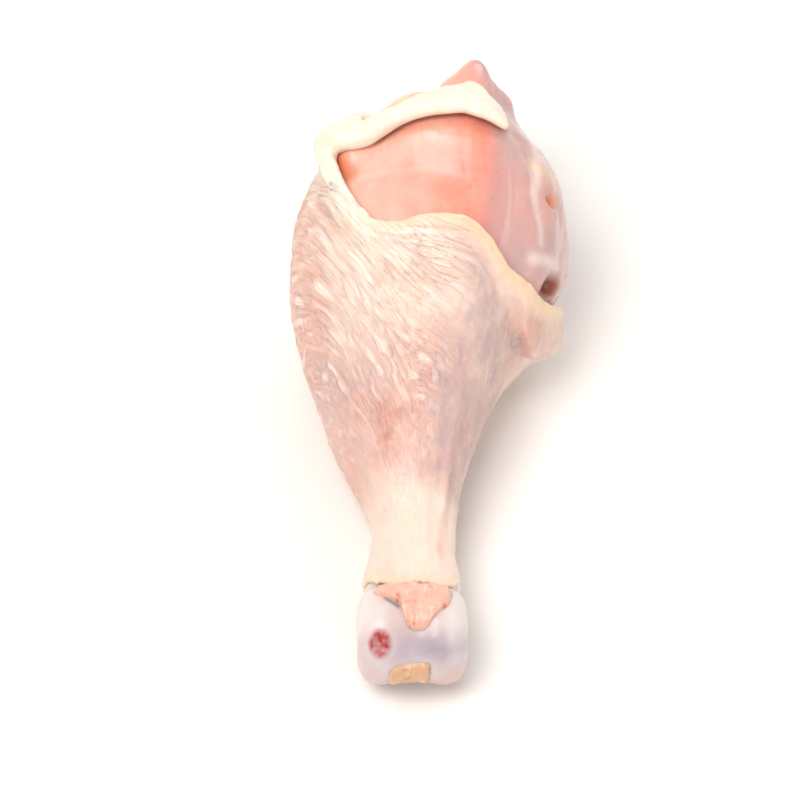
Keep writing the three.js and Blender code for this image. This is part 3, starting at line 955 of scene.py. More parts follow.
        # Painted shade on the left side, below the mouth.
        blush = blush + 0.5 * near_spot(angle, y, (-70, 76), 7)
        right_side = smooth(angle, 2, 38) * (1 - 0.7 * smooth(angle, 84, 120))
        right_side = right_side * smooth(y, 32, 46) * (1 - 0.2 * smooth(y, 60, 70))
        pouch = bump(angle, 42, 14) * smooth(y, 58, 70) * (1 - smooth(y, 72, 76))
        left_side = bump(angle, -62, 22) * smooth(y, 40, 60) * (1 - smooth(y, 74, 92))
        lilac = 0.25 * pouch + 0.78 * right_side + 0.3 * left_side + 0.5 * low
        lilac = lilac * (1 + 0.5 * mottle) * smooth(below_lip, 1.5, 5)
        white = 0.55 * bump(angle, -42, 16) * (1 - smooth(below_lip, 2, 12))
        white = white + 0.32 * bump(angle, -24, 30) * (1 - smooth(below_lip, 6, 26)) * (0.8 + 0.5 * mottle)
        white = white + 1.1 * near_line(angle, y, (-63, 116), (-48, 105), 4.5)
        bruise = near_spot(angle, y, (-26, 48), 4.8) * (0.95 + 0.4 * speckle)
        bruise = bruise + 0.4 * near_spot(angle, y, (-8, 49), 4.0)
        bruise = bruise + 0.35 * near_spot(angle, y, (-47, 51), 4.0)
        set_mask(piece, Mask.FAT, fat)
        set_mask(piece, Mask.BLUSH, blush)
        set_mask(piece, Mask.LILAC, lilac)
        set_mask(piece, Mask.CREASE, painted_relief_shading)
        set_mask(piece, Mask.WHITE, white)
        set_mask(piece, Mask.RED, bruise)
        set_mask(piece, Mask.WRINKLE, self.relief.share(angle, y, points))
        set_grain(piece, self.relief.grain(angle, y))

    def strap_course(self) -> Points:
        """Lists the strap's course over the meat, from its tip to its root.

        Returns:
            The angle, y, half width, thickness and lift at each point, one row each.
        """
        return np.array(
            [
                [41.5, 109.5, 2.0, 1.7, 0.0],
                [37.5, 110.4, 3.6, 2.5, 0.0],
                [33.0, 112.1, 5.1, 3.0, 0.0],
                [27.0, 114.3, 6.9, 3.3, 0.0],
                [15.0, 113.9, 6.2, 3.3, 0.0],
                [3.0, 111.3, 4.7, 3.2, 0.0],
                [-9.0, 109.1, 3.9, 3.1, 0.0],
                [-18.0, 107.3, 3.6, 3.3, 0.0],
                [-26.0, 105.6, 4.0, 3.9, 0.0],
                [-33.0, 104.9, 4.8, 4.9, 0.1],
                [-40.0, 107.2, 5.2, 5.9, 0.1],
                [-46.0, 111.2, 4.0, 6.4, 0.7],
                [-49.0, 109.2, 2.7, 5.5, 1.1],
                [-47.8, 104.6, 2.2, 4.6, 0.2],
                [-47.0, 100.5, 1.7, 3.7, 0.4],
                [-45.5, 96.4, 1.6, 3.1, 0.9],
                [-42.6, 91.8, 1.5, 2.5, 0.8],
                [-38.8, 87.6, 1.4, 2.1, 0.7],
                [-33.8, 84.3, 1.2, 1.8, 0.6],
                [-27.0, 81.6, 1.0, 1.4, 0.5],
            ]
        )

    def strap(self) -> bpy.types.Object:
        """Builds the strap: a rolled band that narrows at the corner and runs down into the left lip.

        Returns:
            The strap.
        """
        piece, turn, share = add_ball("skin_strap", self.strap_turns, self.strap_rows)
        course = self.strap_course()
        at = share * (len(course) - 1)
        angle, y, wide, thick, lift = (curve_through(course[:, n], at) for n in range(5))
        step = 0.02
        steady = np.maximum(at, self.steady_from)
        ahead, behind = ([curve_through(course[:, n], steady + s) for n in (0, 1)] for s in (step, -step))
        round_width = DEGREE_WIDTH * lerp(0.7, 1.0, self.form.cap_share(angle, y))
        way = unit_rows(np.stack([(ahead[0] - behind[0]) * round_width, ahead[1] - behind[1]], axis=1))
        tip = (1 - np.clip(1 - share / self.strap_tip, 0, 1) ** 2.4) ** (1 / 2.4)
        root = (1 - np.clip(1 - (1 - share) / self.strap_root, 0, 1) ** 2) ** 0.5
        sine, cosine = sine_cosine(turn)
        ends = tip * root
        across = wide * ends * np.sign(cosine) * np.abs(cosine) ** self.strap_roundness
        place_angle = angle + across * way[:, 1] / round_width
        place_y = y - across * way[:, 0]
        rounded = thick * lerp(0.5, 1, ends) * ends
        up = rounded * (1 + np.sign(sine) * np.abs(sine) ** self.strap_roundness) / 2
        base = self.form.gap + self.form.muscle_swell(place_angle, place_y) + lift
        smooth_points = self.form.layer(place_angle, place_y, base + up, 0.0)
        lumps = 0.34 * Noise(81).cloud(smooth_points, 7, 2) + 0.05 * Noise(83).cloud(smooth_points, 1.8, 2)
        pleat = 0.1 * np.sin(cosine * 5 + 1.4 * Noise(85).at(at * 0.7)) * (1 - np.abs(cosine))
        outward = smooth(up / np.maximum(thick, 0.1), 0.15, 0.5) * ends
        points = self.form.layer(place_angle, place_y, base + up + (lumps + pleat) * outward, 0.0)
        place(piece, points)
        close_seams(piece)
        self.fill_bend(piece)
        melt(piece, self.melt_cell, self.melt_passes)
        self.roughen(piece)
        return piece

    def roughen(self, piece: bpy.types.Object) -> None:
        """Raises the crumbly fat on the strap's upper side and writes where its tints lie.

        Args:
            piece: the strap.
        """
        points = leg_points(piece)
        dips = Noise(81).cloud(points, 7, 2)
        outward = np.zeros(len(points) * 3, np.float32)
        piece.data.vertices.foreach_get("normal", outward)
        outward = outward.reshape(-1, 3)
        crumbs = 0.16 * Noise(91).cloud(points, 3.2, 2) + 0.07 * Noise(92).cloud(points, 1.1, 1)
        points = points + outward * (crumbs * smooth(outward[:, 2], -0.5, 0.3))[:, None]
        place(piece, points)
        set_mask(piece, Mask.WHITE, 0.95 - 0.35 * smooth(Noise(87).cloud(points, 9, 2), 0.0, 0.8))
        set_mask(piece, Mask.FAT, np.full(len(points), 0.9))
        set_mask(piece, Mask.BLUSH, 0.1 + 0.2 * Noise(88).cloud(points, 8, 2))
        # Painted highlight on the strap's lumps of fat and painted shade in the dips between them.
        set_mask(piece, Mask.CREASE, 0.5 - 0.17 * dips)
        for unused in (Mask.LILAC, Mask.RED, Mask.WRINKLE):
            set_mask(piece, unused, np.zeros(len(points)))
        set_grain(piece, points * MM)

    def fill_bend(self, piece: bpy.types.Object) -> None:
        """Adds a lump of fat to the strap where the band folds into its corner.

        Args:
            piece: the strap.
        """
        lump, turn, share = add_ball("lump", *self.lump_faces)
        angle, y, height = (np.array([value]) for value in self.bend_lump)
        middle = self.form.layer(angle, y, height, 0.0)
        place(lump, ball_points(turn, share) * np.array(self.lump_half) + middle)
        focus(piece)
        lump.select_set(True)
        bpy.ops.object.join()

    def build(self) -> None:
        """Builds the sleeve and the strap, which stand for the skin's solid."""
        finish = poultry_skin().material()
        for piece in (self.sleeve(), self.strap()):
            dress(piece, finish, "skin")


# ---- Meat ----


@dataclass
class Meat:
    """The muscles in one piece, with the shallow seat at the knee where the bone's head shows."""

    form: LegForm
    segments: int = 400
    rings: int = 238
    start_y: float = 19.0
    bare_y: float = 66.0
    hidden_share: float = 0.16
    top_crowding: float = 0.25
    seat_middle: tuple[float, float, float] = (4.0, 135.5, 21.0)
    seat_half: tuple[float, float, float] = (15.5, 9.0, 12.5)
    cap_start: float = 86.0
    cap_from: float = 0.3
    fascia_lines: tuple[tuple[float, tuple[float, float], tuple[float, float], float], ...] = (
        (0.8, (60, 116), (51, 92), 0.9),
        (0.7, (51, 92), (57, 83), 0.8),
        (0.5, (58, 104), (70, 84), 0.9),
        (0.9, (54, 79.5), (74, 83), 1.1),
        (0.35, (-34, 93.4), (14, 91.4), 0.7),
    )

    def furrow(self, angle: Values, y: Values) -> Values:
        """Adds up the furrows between the muscles, beside the tendon, at the vein and beside the nub.

        Args:
            angle: degrees round the leg.
            y: millimetres along it.

        Returns:
            Their depth.
        """
        seam = 0.25 * near_line(angle, y, (31, 108), (25, 79), 2.4)
        tendon = 0.55 * near_line(angle, y, (49, 108), (53, 88), 1.6)
        vein = 1.7 * near_spot(angle, y, (61, 93.6), 1.3)
        nub_side = 1.9 * near_spot(angle, y, (75, 79.5), 1.8)
        pinch = 0.16 * near_line(angle, y, (-34, 92), (14, 90), 1.1)
        return seam + tendon + vein + nub_side + pinch

    def fibres(self, angle: Values, y: Values, points: Points) -> Values:
        """Draws the low relief of the fibres and the clear fascia over them.

        Args:
            angle: degrees round the leg.
            y: millimetres along it.
            points: places in space, in millimetres, one row each.

        Returns:
            Its height.
        """
        sine, cosine = sine_cosine(angle)
        coarse = Noise(101).at(cosine * 13, sine * 13, y / 16)
        fine = Noise(103).at(cosine * 20, sine * 20, y / 11)
        rough = Noise(105).cloud(points, 7, 3)
        right = smooth(angle, 28, 44)
        return 0.07 * (1 + right) * coarse + 0.03 * fine + 0.12 * rough

    def carve_seat(self, points: Points) -> Values:
        """Sinks the knee end to the seat, in the places that it is given.

        Args:
            points: places in space, in millimetres, one row each.

        Returns:
            How near each place is to the seat's rim.
        """
        mid, half = self.seat_middle, self.seat_half
        off = ((points[:, 0] - mid[0]) / half[0]) ** 2 + ((points[:, 2] - mid[2]) / half[2]) ** 2
        inside = off < 1
        depth = mid[1] - half[1] * np.sqrt(np.clip(1 - off, 0, 1))
        near_end = inside & (points[:, 1] > depth)
        points[near_end, 1] = depth[near_end]
        return bump(np.sqrt(off), 0.92, 0.16) * smooth(points[:, 1], 116, 124)

    def build(self) -> bpy.types.Object:
        """Builds and dresses the meat.

        Returns:
            The piece.
        """
        piece, turn, share = add_ball("meat_body", self.segments, self.rings)
        angle = turn - math.degrees(self.top_crowding) * np.sin(np.radians(turn))
        hidden = share < self.hidden_share
        bare_share = np.clip((share - self.hidden_share) / (1 - self.hidden_share), 0, 1)
        cap_turn = np.clip((bare_share - self.cap_from) / (1 - self.cap_from), 0, 1)
        cap = lerp(self.cap_start, LEG_LENGTH, np.sin(cap_turn * math.pi / 2) ** (2 / self.form.cap_power))
        straight = lerp(self.bare_y, self.cap_start, bare_share / self.cap_from)
        y = np.where(bare_share < self.cap_from, straight, cap)
        y = np.where(hidden, lerp(self.start_y, self.bare_y, share / self.hidden_share), y)
        start = smooth(share, 0, 0.012)
        swell = self.form.muscle_swell(angle, y)
        smooth_points = self.form.layer(angle, y, swell, 0.0)
        bare_fade = smooth(y, 64, 72)
        fade = 1 - smooth(y, 127, 130.9)
        height = swell * fade + self.form.corner_fill(angle, y) - self.furrow(angle, y)
        height = height + self.fibres(angle, y, smooth_points) * bare_fade * fade
        points = self.form.layer(angle, y, height, self.form.skin + self.form.gap)
        x, z, _ = self.form.spine(y)
        points[:, 0] = lerp(x, points[:, 0], np.maximum(start, 1e-3))
        points[:, 2] = lerp(z, points[:, 2], np.maximum(start, 1e-3))
        rim = self.carve_seat(points)
        place(piece, points)
        self.tint(piece, angle, y, points, rim)
        close_seams(piece)
        dress(piece, raw_muscle().material(), "meat")
        return piece

    def tint(self, piece: bpy.types.Object, angle: Values, y: Values, points: Points, rim: Values) -> None:
        """Writes where the outer muscle, fascia, blood and fat show, with painted orange shade and glow under
        the strap and partly painted shade in the recess beside the nub.

        Args:
            piece: the meat.
            angle: degrees round the leg of each vertex.
            y: millimetres along it.
            points: places in space.
            rim: how near each place is to the seat's rim.
        """
        mottle = Noise(111).cloud(points, 12, 3)
        seam_angle = lerp(24.0, 31.0, smooth(y, 79, 108))
        dusk = smooth(angle - seam_angle, -3, 8) * (1 - 0.6 * smooth(angle, 120, 165)) * (0.8 + 0.3 * mottle)
        dusk = dusk + 0.5 * bump(angle, -125, 30) * (0.7 + 0.5 * mottle)
        sine, cosine = sine_cosine(angle)
        strands = Noise(113).at(cosine * 26, sine * 26, y / 18)
        fascia = (0.15 + 0.5 * smooth(strands, 0.2, 0.9)) * smooth(angle, 28, 44)
        for strength, start, end, reach in self.fascia_lines:
            fascia = fascia + strength * near_line(angle, y, start, end, reach)
        # Blood colour in the recess beside the nub, partly painted shade in the hollow between the lip and
        # the meat, and a little near the vein.
        red = 1.3 * near_line(angle, y, (73, 78.8), (83, 81), 1.7) + 0.3 * near_spot(angle, y, (64, 92), 2.0)
        fat = 0.75 * rim * smooth(Noise(115).cloud(points, 6, 2), -0.4, 0.4)
        fat = fat + 0.28 * near_line(angle, y, (52, 100), (62, 99), 2.0)
        set_mask(piece, Mask.DUSK, dusk)
        set_mask(piece, Mask.FASCIA, fascia)
        set_mask(piece, Mask.RED, red)
        set_mask(piece, Mask.FAT, fat)
        seam_pink = near_line(angle, y, (25, 107), (21, 82), 4.5)
        left_pale = 0.35 * (1 - smooth(angle, -40, -8))
        set_mask(piece, Mask.PALE, 0.6 + left_pale + 0.4 * mottle - 0.85 * seam_pink)
        set_mask(piece, Mask.VEIN, near_spot(angle, y, (61.5, 93.8), 1.35))
        # Painted orange shade and glow under the strap's edge and in the corner notch where the strap meets
        # the mouth.
        painted_shade_under_strap = bump(y, 104.5, 2.2) * smooth(angle, -52, -40) * (1 - smooth(angle, 28, 38))
        set_mask(piece, Mask.GLOW, 0.35 * painted_shade_under_strap + 0.9 * near_line(angle, y, (-47, 105), (-40, 96), 2.0))


# ---- Bone ----


@dataclass(frozen=True)
class Knuckle:
    """The ankle's knuckle: a spool across the leg with two round condyles, in millimetres.

    Its turn is degrees round the spool: 0 at the ankle's tip, 90 at the top and -90 at the floor.
    """

    half_width: float = 10.2
    radius: float = 9.3
    y: float = 9.2
    z: float = 9.8
    squareness: float = 4.2
    groove: float = 0.1
    pit_x: float = -5.8
    pit_turn: float = 44.0
    pit_depth: float = 1.1
    pit_reach: float = 1.7
    clearance: float = 0.05  # over the floor

    def radius_at(self, x: Values, turn: Values) -> Values:
        """Works out the knuckle's radius.

        Args:
            x: millimetres across the leg.
            turn: degrees round the spool.

        Returns:
            The radius in millimetres.
        """
        round_off = np.maximum(0, 1 - np.abs(x / self.half_width) ** self.squareness) ** (1 / self.squareness)
        front = smooth(np.cos(np.radians(turn)), -0.6, 0.5)
        under = smooth(-turn, 0, 40)
        dip = self.groove * bump(x, 0.6, 3.4) * front + 0.1 * bump(x, -1, 3) * under
        pit = self.pit_depth / self.radius * bump(self.off_pit(x, turn), 0, self.pit_reach)
        return self.radius * round_off * (1 - dip - pit)

    def off_pit(self, x: Values, turn: Values, degrees_in_mm: float = 7.0) -> Values:
        """Returns about how many millimetres places lie from the torn pit's middle."""
        return np.hypot(x - self.pit_x, (turn - self.pit_turn) / degrees_in_mm)

    def point(self, x: Values, turn: Values, margin: Values) -> Points:
        """Works out places on the knuckle, or a margin over it.

        Args:
            x: millimetres across the leg.
            turn: degrees round the spool.
            margin: millimetres over its surface.

        Returns:
            The places, one row each.
        """
        radius = self.radius_at(x, turn) + margin
        outward = margin * x / self.half_width
        sine, cosine = sine_cosine(turn)
        z = np.maximum(self.z + radius * sine, self.clearance)
        return np.stack([x + outward, self.y - radius * cosine, z], axis=1)


@dataclass
class Bone:
    """The bone from its ankle knuckle to its knee head, with its cartilage."""

    knuckle: Knuckle
    knuckle_faces: tuple[int, int] = (220, 160)
    shaft_faces: tuple[int, int] = (32, 40)
    collar_faces: tuple[int, int] = (64, 40)
    head_faces: tuple[int, int] = (120, 90)
    shaft_radius: float = 4.1
    shaft_start: float = 12.0
    shaft_end: float = 116.0
    collar_middle: tuple[float, float, float] = (0.0, 20.2, 9.6)
    collar_half: tuple[float, float, float] = (9.0, 5.2, 6.6)
    head_middle: tuple[float, float, float] = (4.0, 121.0, 21.0)
    head_half: tuple[float, float, float] = (12.5, 10.0, 9.5)

    def knuckle_mesh(self) -> bpy.types.Object:
        """Builds the knuckle as a ball drawn out across the leg.

        Returns:
            The knuckle.
        """
        piece, turn, share = add_ball("bone_and_cartilage", *self.knuckle_faces)
        cosine = np.cos(share * math.pi)
        x = -self.knuckle.half_width * np.sign(cosine) * np.abs(cosine) ** 0.55
        at_pole = np.abs(cosine) > 0.99999
        widest = self.knuckle.half_width * 0.9995
        x = np.where(at_pole, x, np.clip(x, -widest, widest))
        points = self.knuckle.point(x, turn, 0.0)
        soft = Noise(121).cloud(points, 5, 3)
        chips = Noise(123).cloud(points, 1.6, 2)
        pitted = bump(self.knuckle.off_pit(x, turn), 0, self.knuckle.pit_reach)
        middle = np.array([0, self.knuckle.y, self.knuckle.z])
        outward = points - middle
        outward[:, 0] *= 0.3
        points = points + unit_rows(outward) * (0.14 * soft + 0.5 * pitted * chips - 0.1)[:, None]
        points[:, 2] = np.maximum(points[:, 2], self.knuckle.clearance)
        place(piece, points)
        close_seams(piece)
        return piece

    def shaft_mesh(self) -> bpy.types.Object:
        """Builds the shaft, which the meat hides.

        Returns:
            The shaft.
        """
        piece, turn, share = add_ball("shaft", *self.shaft_faces)
        end_x, _, end_z = self.head_middle
        flare = 1 + 0.4 * bump(share, 0, 0.12) + 0.4 * bump(share, 1, 0.14)
        ends = np.sqrt(np.clip(np.sin(share * math.pi) * 12, 0, 1))
        radius = self.shaft_radius * flare * ends
        sine, cosine = sine_cosine(turn)
        x, z = lerp(0, end_x, share), lerp(self.knuckle.z, end_z, share)
        y = lerp(self.shaft_start, self.shaft_end, share)
        place(piece, np.stack([x + radius * sine, y, z + radius * cosine], axis=1))
        close_seams(piece)
        return piece

    def collar_mesh(self) -> bpy.types.Object:
        """Builds the soft tissue round the joint, which fills the skin's hem.

        Returns:
            The tissue.
        """
        piece, turn, share = add_ball("collar", *self.collar_faces)
        unit = ball_points(turn, share)[:, [0, 2, 1]]
        place(piece, unit * np.array(self.collar_half) + np.array(self.collar_middle))
        close_seams(piece)
        return piece

    def head_mesh(self) -> bpy.types.Object:
        """Builds the knee head: two shallow bearing faces with a notch between them.

        Returns:
            The head.
        """
        piece, turn, share = add_ball("knee_head", *self.head_faces)
        sine, cosine = sine_cosine(turn)
        spread = np.sin(share * math.pi) ** 0.7
        x, y, z = spread * sine, -np.cos(share * math.pi), spread * cosine
        notch = 1 - 0.22 * smooth(y, 0.2, 1) * bump(x, 0.05, 0.25)
        crest = 1 - 0.2 * bump(x, 0, 0.3) * smooth(-z, 0.2, 1)
        scaled = np.stack([x, y * notch, z * crest], axis=1) * np.array(self.head_half)
        points = scaled + np.array(self.head_middle)
        points = points + 0.12 * Noise(127).cloud(points, 5, 2)[:, None] * scaled / 12
        place(piece, points)
        close_seams(piece)
        return piece

    def build(self) -> bpy.types.Object:
        """Builds the bone in one piece and dresses it.

        Returns:
            The piece.
        """
        piece = self.knuckle_mesh()
        union(piece, [self.shaft_mesh(), self.collar_mesh(), self.head_mesh()])
        points = leg_points(piece)
        x, y, z = points.T
        turn = np.degrees(np.arctan2(z - self.knuckle.z, self.knuckle.y - y))
        mottle = Noise(131).cloud(points, 5, 3)
        at_knee = smooth(y, 60, 80)
        pit = smooth(2.6 - self.knuckle.off_pit(x, turn, 8.5), 0.0, 1.2) * (1 - at_knee)
        dots = smooth(Noise(133).cloud(points, 1.3, 2), -0.35, 0.4)
        # A painted blue-lavender shade across the knuckle's front face.
        band = 0.8 * bump(x, 2.8, 7.5) * bump(turn, 38, 24) * (1 - at_knee)
        # A painted shadow line in the gap under the tendon tissue's lower-left edge.
        painted_gap_shadow = 0.75 * bump(turn, lerp(102, 90, np.clip((x + 5) / 2.6, 0, 1)), 3.4)
        painted_gap_shadow = painted_gap_shadow * smooth(x, -5.6, -4.6) * (1 - smooth(x, -2.6, -1.8))
        collar = smooth(y, 15.5, 18.0) * (1 - at_knee)
        set_mask(piece, Mask.RED, pit * (0.68 + 0.32 * dots))
        set_mask(piece, Mask.LILAC, band * (0.8 + 0.3 * mottle) + 0.4 * at_knee * (0.8 + 0.5 * mottle))
        # Whiter on the tops of the condyles: white cartilage, and partly a painted highlight.
        set_mask(piece, Mask.WHITE, 0.8 * bump(np.abs(x), 9, 3.2) * smooth(turn, 35, 80) * (1 - at_knee))
        under = smooth(-turn, -5, 40) * (1 - at_knee)
        set_mask(piece, Mask.BLUSH, 0.35 + 0.45 * mottle + 0.5 * under + collar)
        set_mask(piece, Mask.SLIT, painted_gap_shadow * (1 - at_knee))
        focus(piece)
        bpy.ops.object.shade_smooth()
        dress(piece, wet_cartilage().material(), "bone")
        return piece


@dataclass
class TissuePad:
    """A torn thin pad of tissue on the knuckle, from a straight edge to a torn one."""

    knuckle: Knuckle
    name: str
    node: str
    slot: str
    finish: bpy.types.Material
    from_turn: float
    torn_edge: tuple[tuple[float, float], ...]
    thickness: float
    ragged: float
    seed: int
    columns: int = 110
    rows: int = 70

    def build(self) -> bpy.types.Object:
        """Builds the pad as an upper face, a rim and a lower face, and dresses it.

        Returns:
            The piece.
        """
        piece, across, along = add_sheet(self.name, self.columns, self.rows * 2)
        over = along <= 0.5
        outward = np.where(over, along * 2, 2 - along * 2)
        edge_x, edge_turn = np.array(sorted(self.torn_edge)).T
        x = lerp(edge_x[0], edge_x[-1], across)
        x = x + 0.3 * Noise(self.seed).at(outward * 4, across * 2) * np.sin(math.pi * across)
        ends = np.interp(x, edge_x, edge_turn)
        torn = Noise(self.seed + 5).at(x / 0.9, np.full_like(x, 0.5)) + 0.5 * Noise(self.seed + 6).at(x / 0.4)
        turn = lerp(self.from_turn, ends + self.ragged * torn, outward)
        away = np.minimum(across, 1 - across)
        edge = smooth(away, 0, 0.12) * smooth(1 - outward, 0, 0.16)
        dome = np.sin(math.pi * across) * np.sin(math.pi * lerp(0.12, 1, outward))
        dome = np.sqrt(np.clip(dome, 0, 1))
        base = self.knuckle.point(x, turn, np.full_like(x, 0.3))
        strands = Noise(self.seed + 1).at(base[:, 0] / 0.9, base[:, 1] / 3.2, base[:, 2] / 3.2)
        lumps = Noise(self.seed + 2).cloud(base, 2.4, 3)
        raised = lerp(0.25, self.thickness, dome) + (0.14 * strands + 0.26 * lumps) * edge
        height = np.where(over, np.maximum(raised, 0.15), -0.25) * edge - 0.1 * (1 - edge)
        points = self.knuckle.point(x, turn, height)
        place(piece, points)
        set_mask(piece, Mask.FASCIA, 0.6 * smooth(strands, 0.2, 0.8) + 0.3 * np.clip(0.5 + 0.5 * lumps, 0, 1))
        set_mask(piece, Mask.RED, smooth(Noise(self.seed + 3).cloud(points, 1.9, 2), 0.35, 0.8))
        self.close_rims(piece)
        dress(piece, self.finish, self.node)
        return piece

    def close_rims(self, piece: bpy.types.Object) -> None:
        """Closes the sides where the upper and lower faces end.

        Args:
            piece: the pad.
        """
        focus(piece)
        bpy.ops.object.mode_set(mode="EDIT")
        bpy.ops.mesh.select_all(action="DESELECT")
        bpy.ops.mesh.select_mode(type="EDGE")
        bpy.ops.mesh.select_non_manifold()
        bpy.ops.mesh.remove_doubles(threshold=0.2 * MM)
        bpy.ops.object.mode_set(mode="OBJECT")
        close_seams(piece)


def ankle_tendon(knuckle: Knuckle) -> TissuePad:
    """Lays out the torn tendon tissue on top of the knuckle.

    Args:
        knuckle: the knuckle that it lies on.

    Returns:
        The pad, which is yet to be built.
    """
    return TissuePad(
        knuckle=knuckle,
        name="ankle_tendon_tissue",
        node="ankle_tendon",
        slot="tendon",
        finish=torn_tissue("torn_tendon_tissue", "ecae9b", "f6d2c0", "b5453c", 0.6).material(),
        from_turn=124,
        torn_edge=(
            (-7.0, 110), (-5.2, 106), (-3.6, 100), (-2.2, 93), (-1.7, 80), (-1.0, 65),
            (0.4, 60), (2.0, 61), (3.3, 66), (4.2, 76), (5.8, 84), (7.4, 96),
        ),
        thickness=1.4,
        ragged=1.5,
        seed=141,
    )


def sole_pad(knuckle: Knuckle) -> TissuePad:
    """Lays out the ragged pad of fat under the knuckle's tip.

    Args:
        knuckle: the knuckle that it lies on.

    Returns:
        The pad, which is yet to be built.
    """
    return TissuePad(
        knuckle=knuckle,
        name="sole_pad_tissue",
        node="sole_pad",
        slot="fat",
        finish=torn_tissue("ragged_sole_fat", "d3a582", "e7c7a5", "8a4a35", 0.35).material(),
        from_turn=-16,
        torn_edge=((-4.4, 8), (-3.3, 15), (-1.4, 18), (0.6, 20), (2.2, 20), (3.4, 17)),
        thickness=1.1,
        ragged=0.9,
        seed=151,
    )


# ---- Finishes ----


def linear(code: str) -> tuple[float, float, float, float]:
    """Turns an sRGB hex colour into linear light, with full alpha.

    Args:
        code: the colour's six hex digits.

    Returns:
        Its red, green, blue and alpha.
    """
    parts = [int(code[n : n + 2], 16) / 255 for n in (0, 2, 4)]
    red, green, blue = (c / 12.92 if c <= 0.04045 else ((c + 0.055) / 1.055) ** 2.4 for c in parts)
    return red, green, blue, 1.0


RAMP_SETTINGS = {"interpolation_type": "SMOOTHSTEP"}
RAMP_SOCKETS = ("Value", "From Min", "From Max", "To Min", "To Max")


class Texture(Enum):
    """What the cells of a fine pattern look like."""

    CLOUD = "soft noise"
    CELLS = "distance to scattered cell middles"
    LINES = "thin lines drawn out along the grain, 0 on a line"


@dataclass(frozen=True)
class Pattern:
    """A fine pattern with cells of a size in millimetres.

    Where it has a ramp, its values between the ramp's first two numbers become those between its last two.
    """

    size: float
    ramp: tuple[float, float, float, float] | None = None
    texture: Texture = Texture.CLOUD
    detail: float = 3.0
    rough: float = 0.55


@dataclass(frozen=True)
class Tint:
    """A colour laid over those before it where a mask lies.

    It may fade in between two of the mask's values, and a pattern may break it up or be added to it.
    """

    colour: str
    mask: Mask
    strength: float = 1.0
    fade: tuple[float, float] | None = None
    broken: Pattern | None = None
    added: Pattern | None = None


@dataclass(frozen=True)
class Grain:
    """A relief too fine for the mesh, with its depth in millimetres."""

    pattern: Pattern
    depth: float
    mask: Mask | None = None


